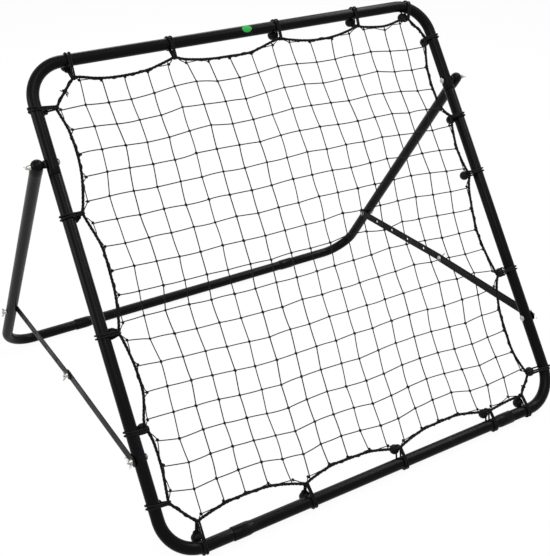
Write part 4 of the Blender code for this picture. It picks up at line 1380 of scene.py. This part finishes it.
def strand(slant, reach, ball, on_tube):
    """Half of the elastic, from the ball to the tip of its loop."""
    span = math.hypot(reach, NET_FRONT)
    tangent = math.atan2(NET_FRONT, reach) + math.acos((TUBE_TURN - CORD_TURN) / span)
    mouth = (over_cord(slant, reach) - ball).normalized()
    neck = ball + mouth * NECK_OUT
    beside = mouth.cross(Vector((1, 0, 0))).normalized()
    if beside.z < 0:
        beside = -beside
    apart = Vector((ELASTIC_R + CLEARANCE, 0, 0))
    route = [ball + apart + mouth * 0.005, neck + apart + mouth * 0.002]
    for angle in np.linspace(HOOK_FROM, tangent, 8):
        up, out = CORD_TURN * math.cos(angle), CORD_TURN * math.sin(angle)
        route.append(Vector((slant, -NET_FRONT - out, reach + up)) + apart)
    distance = math.hypot(neck.y, neck.z)
    last = 2 * math.pi + math.atan2(-neck.y, neck.z) - math.acos(min(1.0, TUBE_TURN / distance))
    for angle in np.linspace(tangent, last, 20):
        share = (angle - tangent) / (last - tangent)
        side = apart.x + (on_tube - apart.x) * min(1.0, share / 0.3)
        side += slant * 0.6 * max(0.0, 1 - share / 0.5) + max(0.0, share - 0.75) * 0.008
        side += neck.x * max(0.0, share - 0.6)
        route.append(Vector((side, -TUBE_TURN * math.sin(angle), TUBE_TURN * math.cos(angle))))
    between = (route[-1] + neck + Vector((NECK_R, 0, 0))) / 2
    clear = BALL_R + ELASTIC_R + CLEARANCE
    if (between - ball).length < clear:
        between = ball + (between - ball).normalized() * clear
    route.append(between)
    for angle in np.linspace(0.0, math.pi / 2, 6):
        turned = Vector((NECK_R * math.cos(angle), 0, 0)) + beside * NECK_R * math.sin(angle)
        route.append(neck + turned)
    return route


def elastic_route(slant, reach, ball, on_tube):
    """The whole elastic, one strand there and the other back, the mirror of its neighbour's."""
    flip = Matrix.Scale(-1, 3, (1, 0, 0))
    there = strand(slant, reach, ball, on_tube)
    back = [flip @ spot for spot in strand(-slant, reach, flip @ ball, on_tube)]
    return evenly(smooth_line(there + back[::-1][1:], 4), 0.0022)


print("elastic", len(elastic_route(0.0, 0.03, Vector((0.004, 0.0098, 0.0255)), 0.003)), "points")

# %% [markdown]
# The ball is moulded with a hole for the elastic. It is turned like the bolts, from the mouth of
# the hole round to the back, with a fine bead at the middle where the halves of the mould met.

# %% The ball
BALL_RINGS, MOUTH_DEGREES, BEAD_HALF, BEAD = 22, 15, 0.0004, 0.00022
profile = [(-0.0020, 0.0022), (-BALL_R * 0.955, 0.0024), (-BALL_R * 0.965, 0.0028)]
for ring in range(1, BALL_RINGS):
    angle = math.radians(MOUTH_DEGREES + (180 - MOUTH_DEGREES) * ring / BALL_RINGS)
    profile.append((-BALL_R * math.cos(angle), BALL_R * math.sin(angle)))
middle = min(range(len(profile)), key=lambda k: abs(profile[k][0]))
x, radius = profile[middle]
bead = [(x - BEAD_HALF, radius), (x, radius + BEAD), (x + BEAD_HALF, radius)]
profile[middle:middle + 1] = bead
profile.append((BALL_R * 0.999, 0.0004))
ball = turned_piece(profile, 32)
smooth(ball, 40)
print("ball", len(ball.data.polygons), "faces")

# %% [markdown]
# When the leg folds in, the front straps swing up along the uprights and press three of the
# elastics flat against their tubes. What stands out past the tube is cut off each of them as a
# piece of its own.

# %% Pressed elastics
PRESSED = {("left", 3), ("left", 4), ("right", 4)}
TUBE_SIDE = HALF + TUBE_R


def cut_off(piece, x):
    """Cuts what lies further out than x off a piece, and gives it back as another piece."""
    outer = copied(piece)
    for part in (piece, outer):
        only(part)
        edit_all()
        bpy.ops.mesh.bisect(
            plane_co=(x, 0, 0), plane_no=(math.copysign(1, x), 0, 0), use_fill=True,
            clear_outer=part is piece, clear_inner=part is outer,
        )
        leave_edit()
        smooth(part, 50)
    return outer


print("pressed by the straps:", sorted(PRESSED))

# %% [markdown]
# Every bungee is put in its place: the tube's axis gives X, the way to the back gives Y and the
# way into the net gives Z. The ones under the bottom bar carry the frame, so what would sink
# into the floor is pressed flat.

# %% Bungees in place
STRANDS_APART = {"top": 0.0041, "right": 0.0033, "bottom": 0.0035, "left": 0.0033}
for (side, number), (along, post, centre) in ties.items():
    point, inward = rim_spot(side, along)
    back = Vector((0, 1, 0))
    across = back.cross(inward)
    drawn = Vector((post[0] / 1000, 0, post[1] / 1000)) - point
    slant, reach = drawn.dot(across), drawn.dot(inward)
    place = IN_FRAME @ Matrix.Translation(point)
    place @= Matrix((across, back, inward)).transposed().to_4x4()
    route = elastic_route(slant, reach, centre, STRANDS_APART[side])
    band = cord_piece("band", [route], ELASTIC_R, 2)
    shell = copied(ball)
    mouth = over_cord(slant, reach) - centre
    turn = mouth.to_track_quat("-X", "Z").to_matrix().to_4x4()
    shell.data.transform(Matrix.Translation(centre) @ turn)
    for piece in (band, shell):
        piece.data.transform(place)
        for corner in piece.data.vertices:
            corner.co.z = max(corner.co.z, 0.0)
    node = f"tie_{side}_{number}"
    if (side, number) in PRESSED:
        edge = math.copysign(TUBE_SIDE, point.x)
        rim = cut_off(band, edge * 1.0004)
        finish_piece(rim, f"pressed_{side}_{number}", Matrix(), elastic, "root", node)
        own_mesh(rim)
    finish_piece(band, f"elastic_{side}_{number}", Matrix(), elastic, "root", node)
    finish_piece(shell, f"ball_{side}_{number}", Matrix(), ball_plastic, "root", node)
bpy.data.objects.remove(ball)

# %% [markdown]
# One small green label sits on the front of the top bar. It is left bare. A grid is drawn out
# to an oval, wound on to the tube, and given the thickness of vinyl.

# %% Label
LABEL_MIDDLE, LABEL_HALF_LENGTH, LABEL_HALF_HEIGHT = 0.0065, 0.0115, 0.0084
LABEL_UP, VINYL = math.radians(8), 0.00012
lift = TUBE_R + VINYL

bpy.ops.mesh.primitive_grid_add(x_subdivisions=24, y_subdivisions=24, size=2)
label = bpy.context.object
for corner in label.data.vertices:
    u, v, _ = corner.co
    flat_x, flat_y = u * math.sqrt(1 - v * v / 2), v * math.sqrt(1 - u * u / 2)
    angle = flat_y * LABEL_HALF_HEIGHT / TUBE_R + LABEL_UP
    x = LABEL_MIDDLE + flat_x * LABEL_HALF_LENGTH
    corner.co = (x, -lift * math.cos(angle), 2 * HALF + lift * math.sin(angle))
apply_modifier(label, "SOLIDIFY", thickness=VINYL, offset=1)
smooth(label, 40)
finish_piece(label, "label", IN_FRAME, green_vinyl, "root")
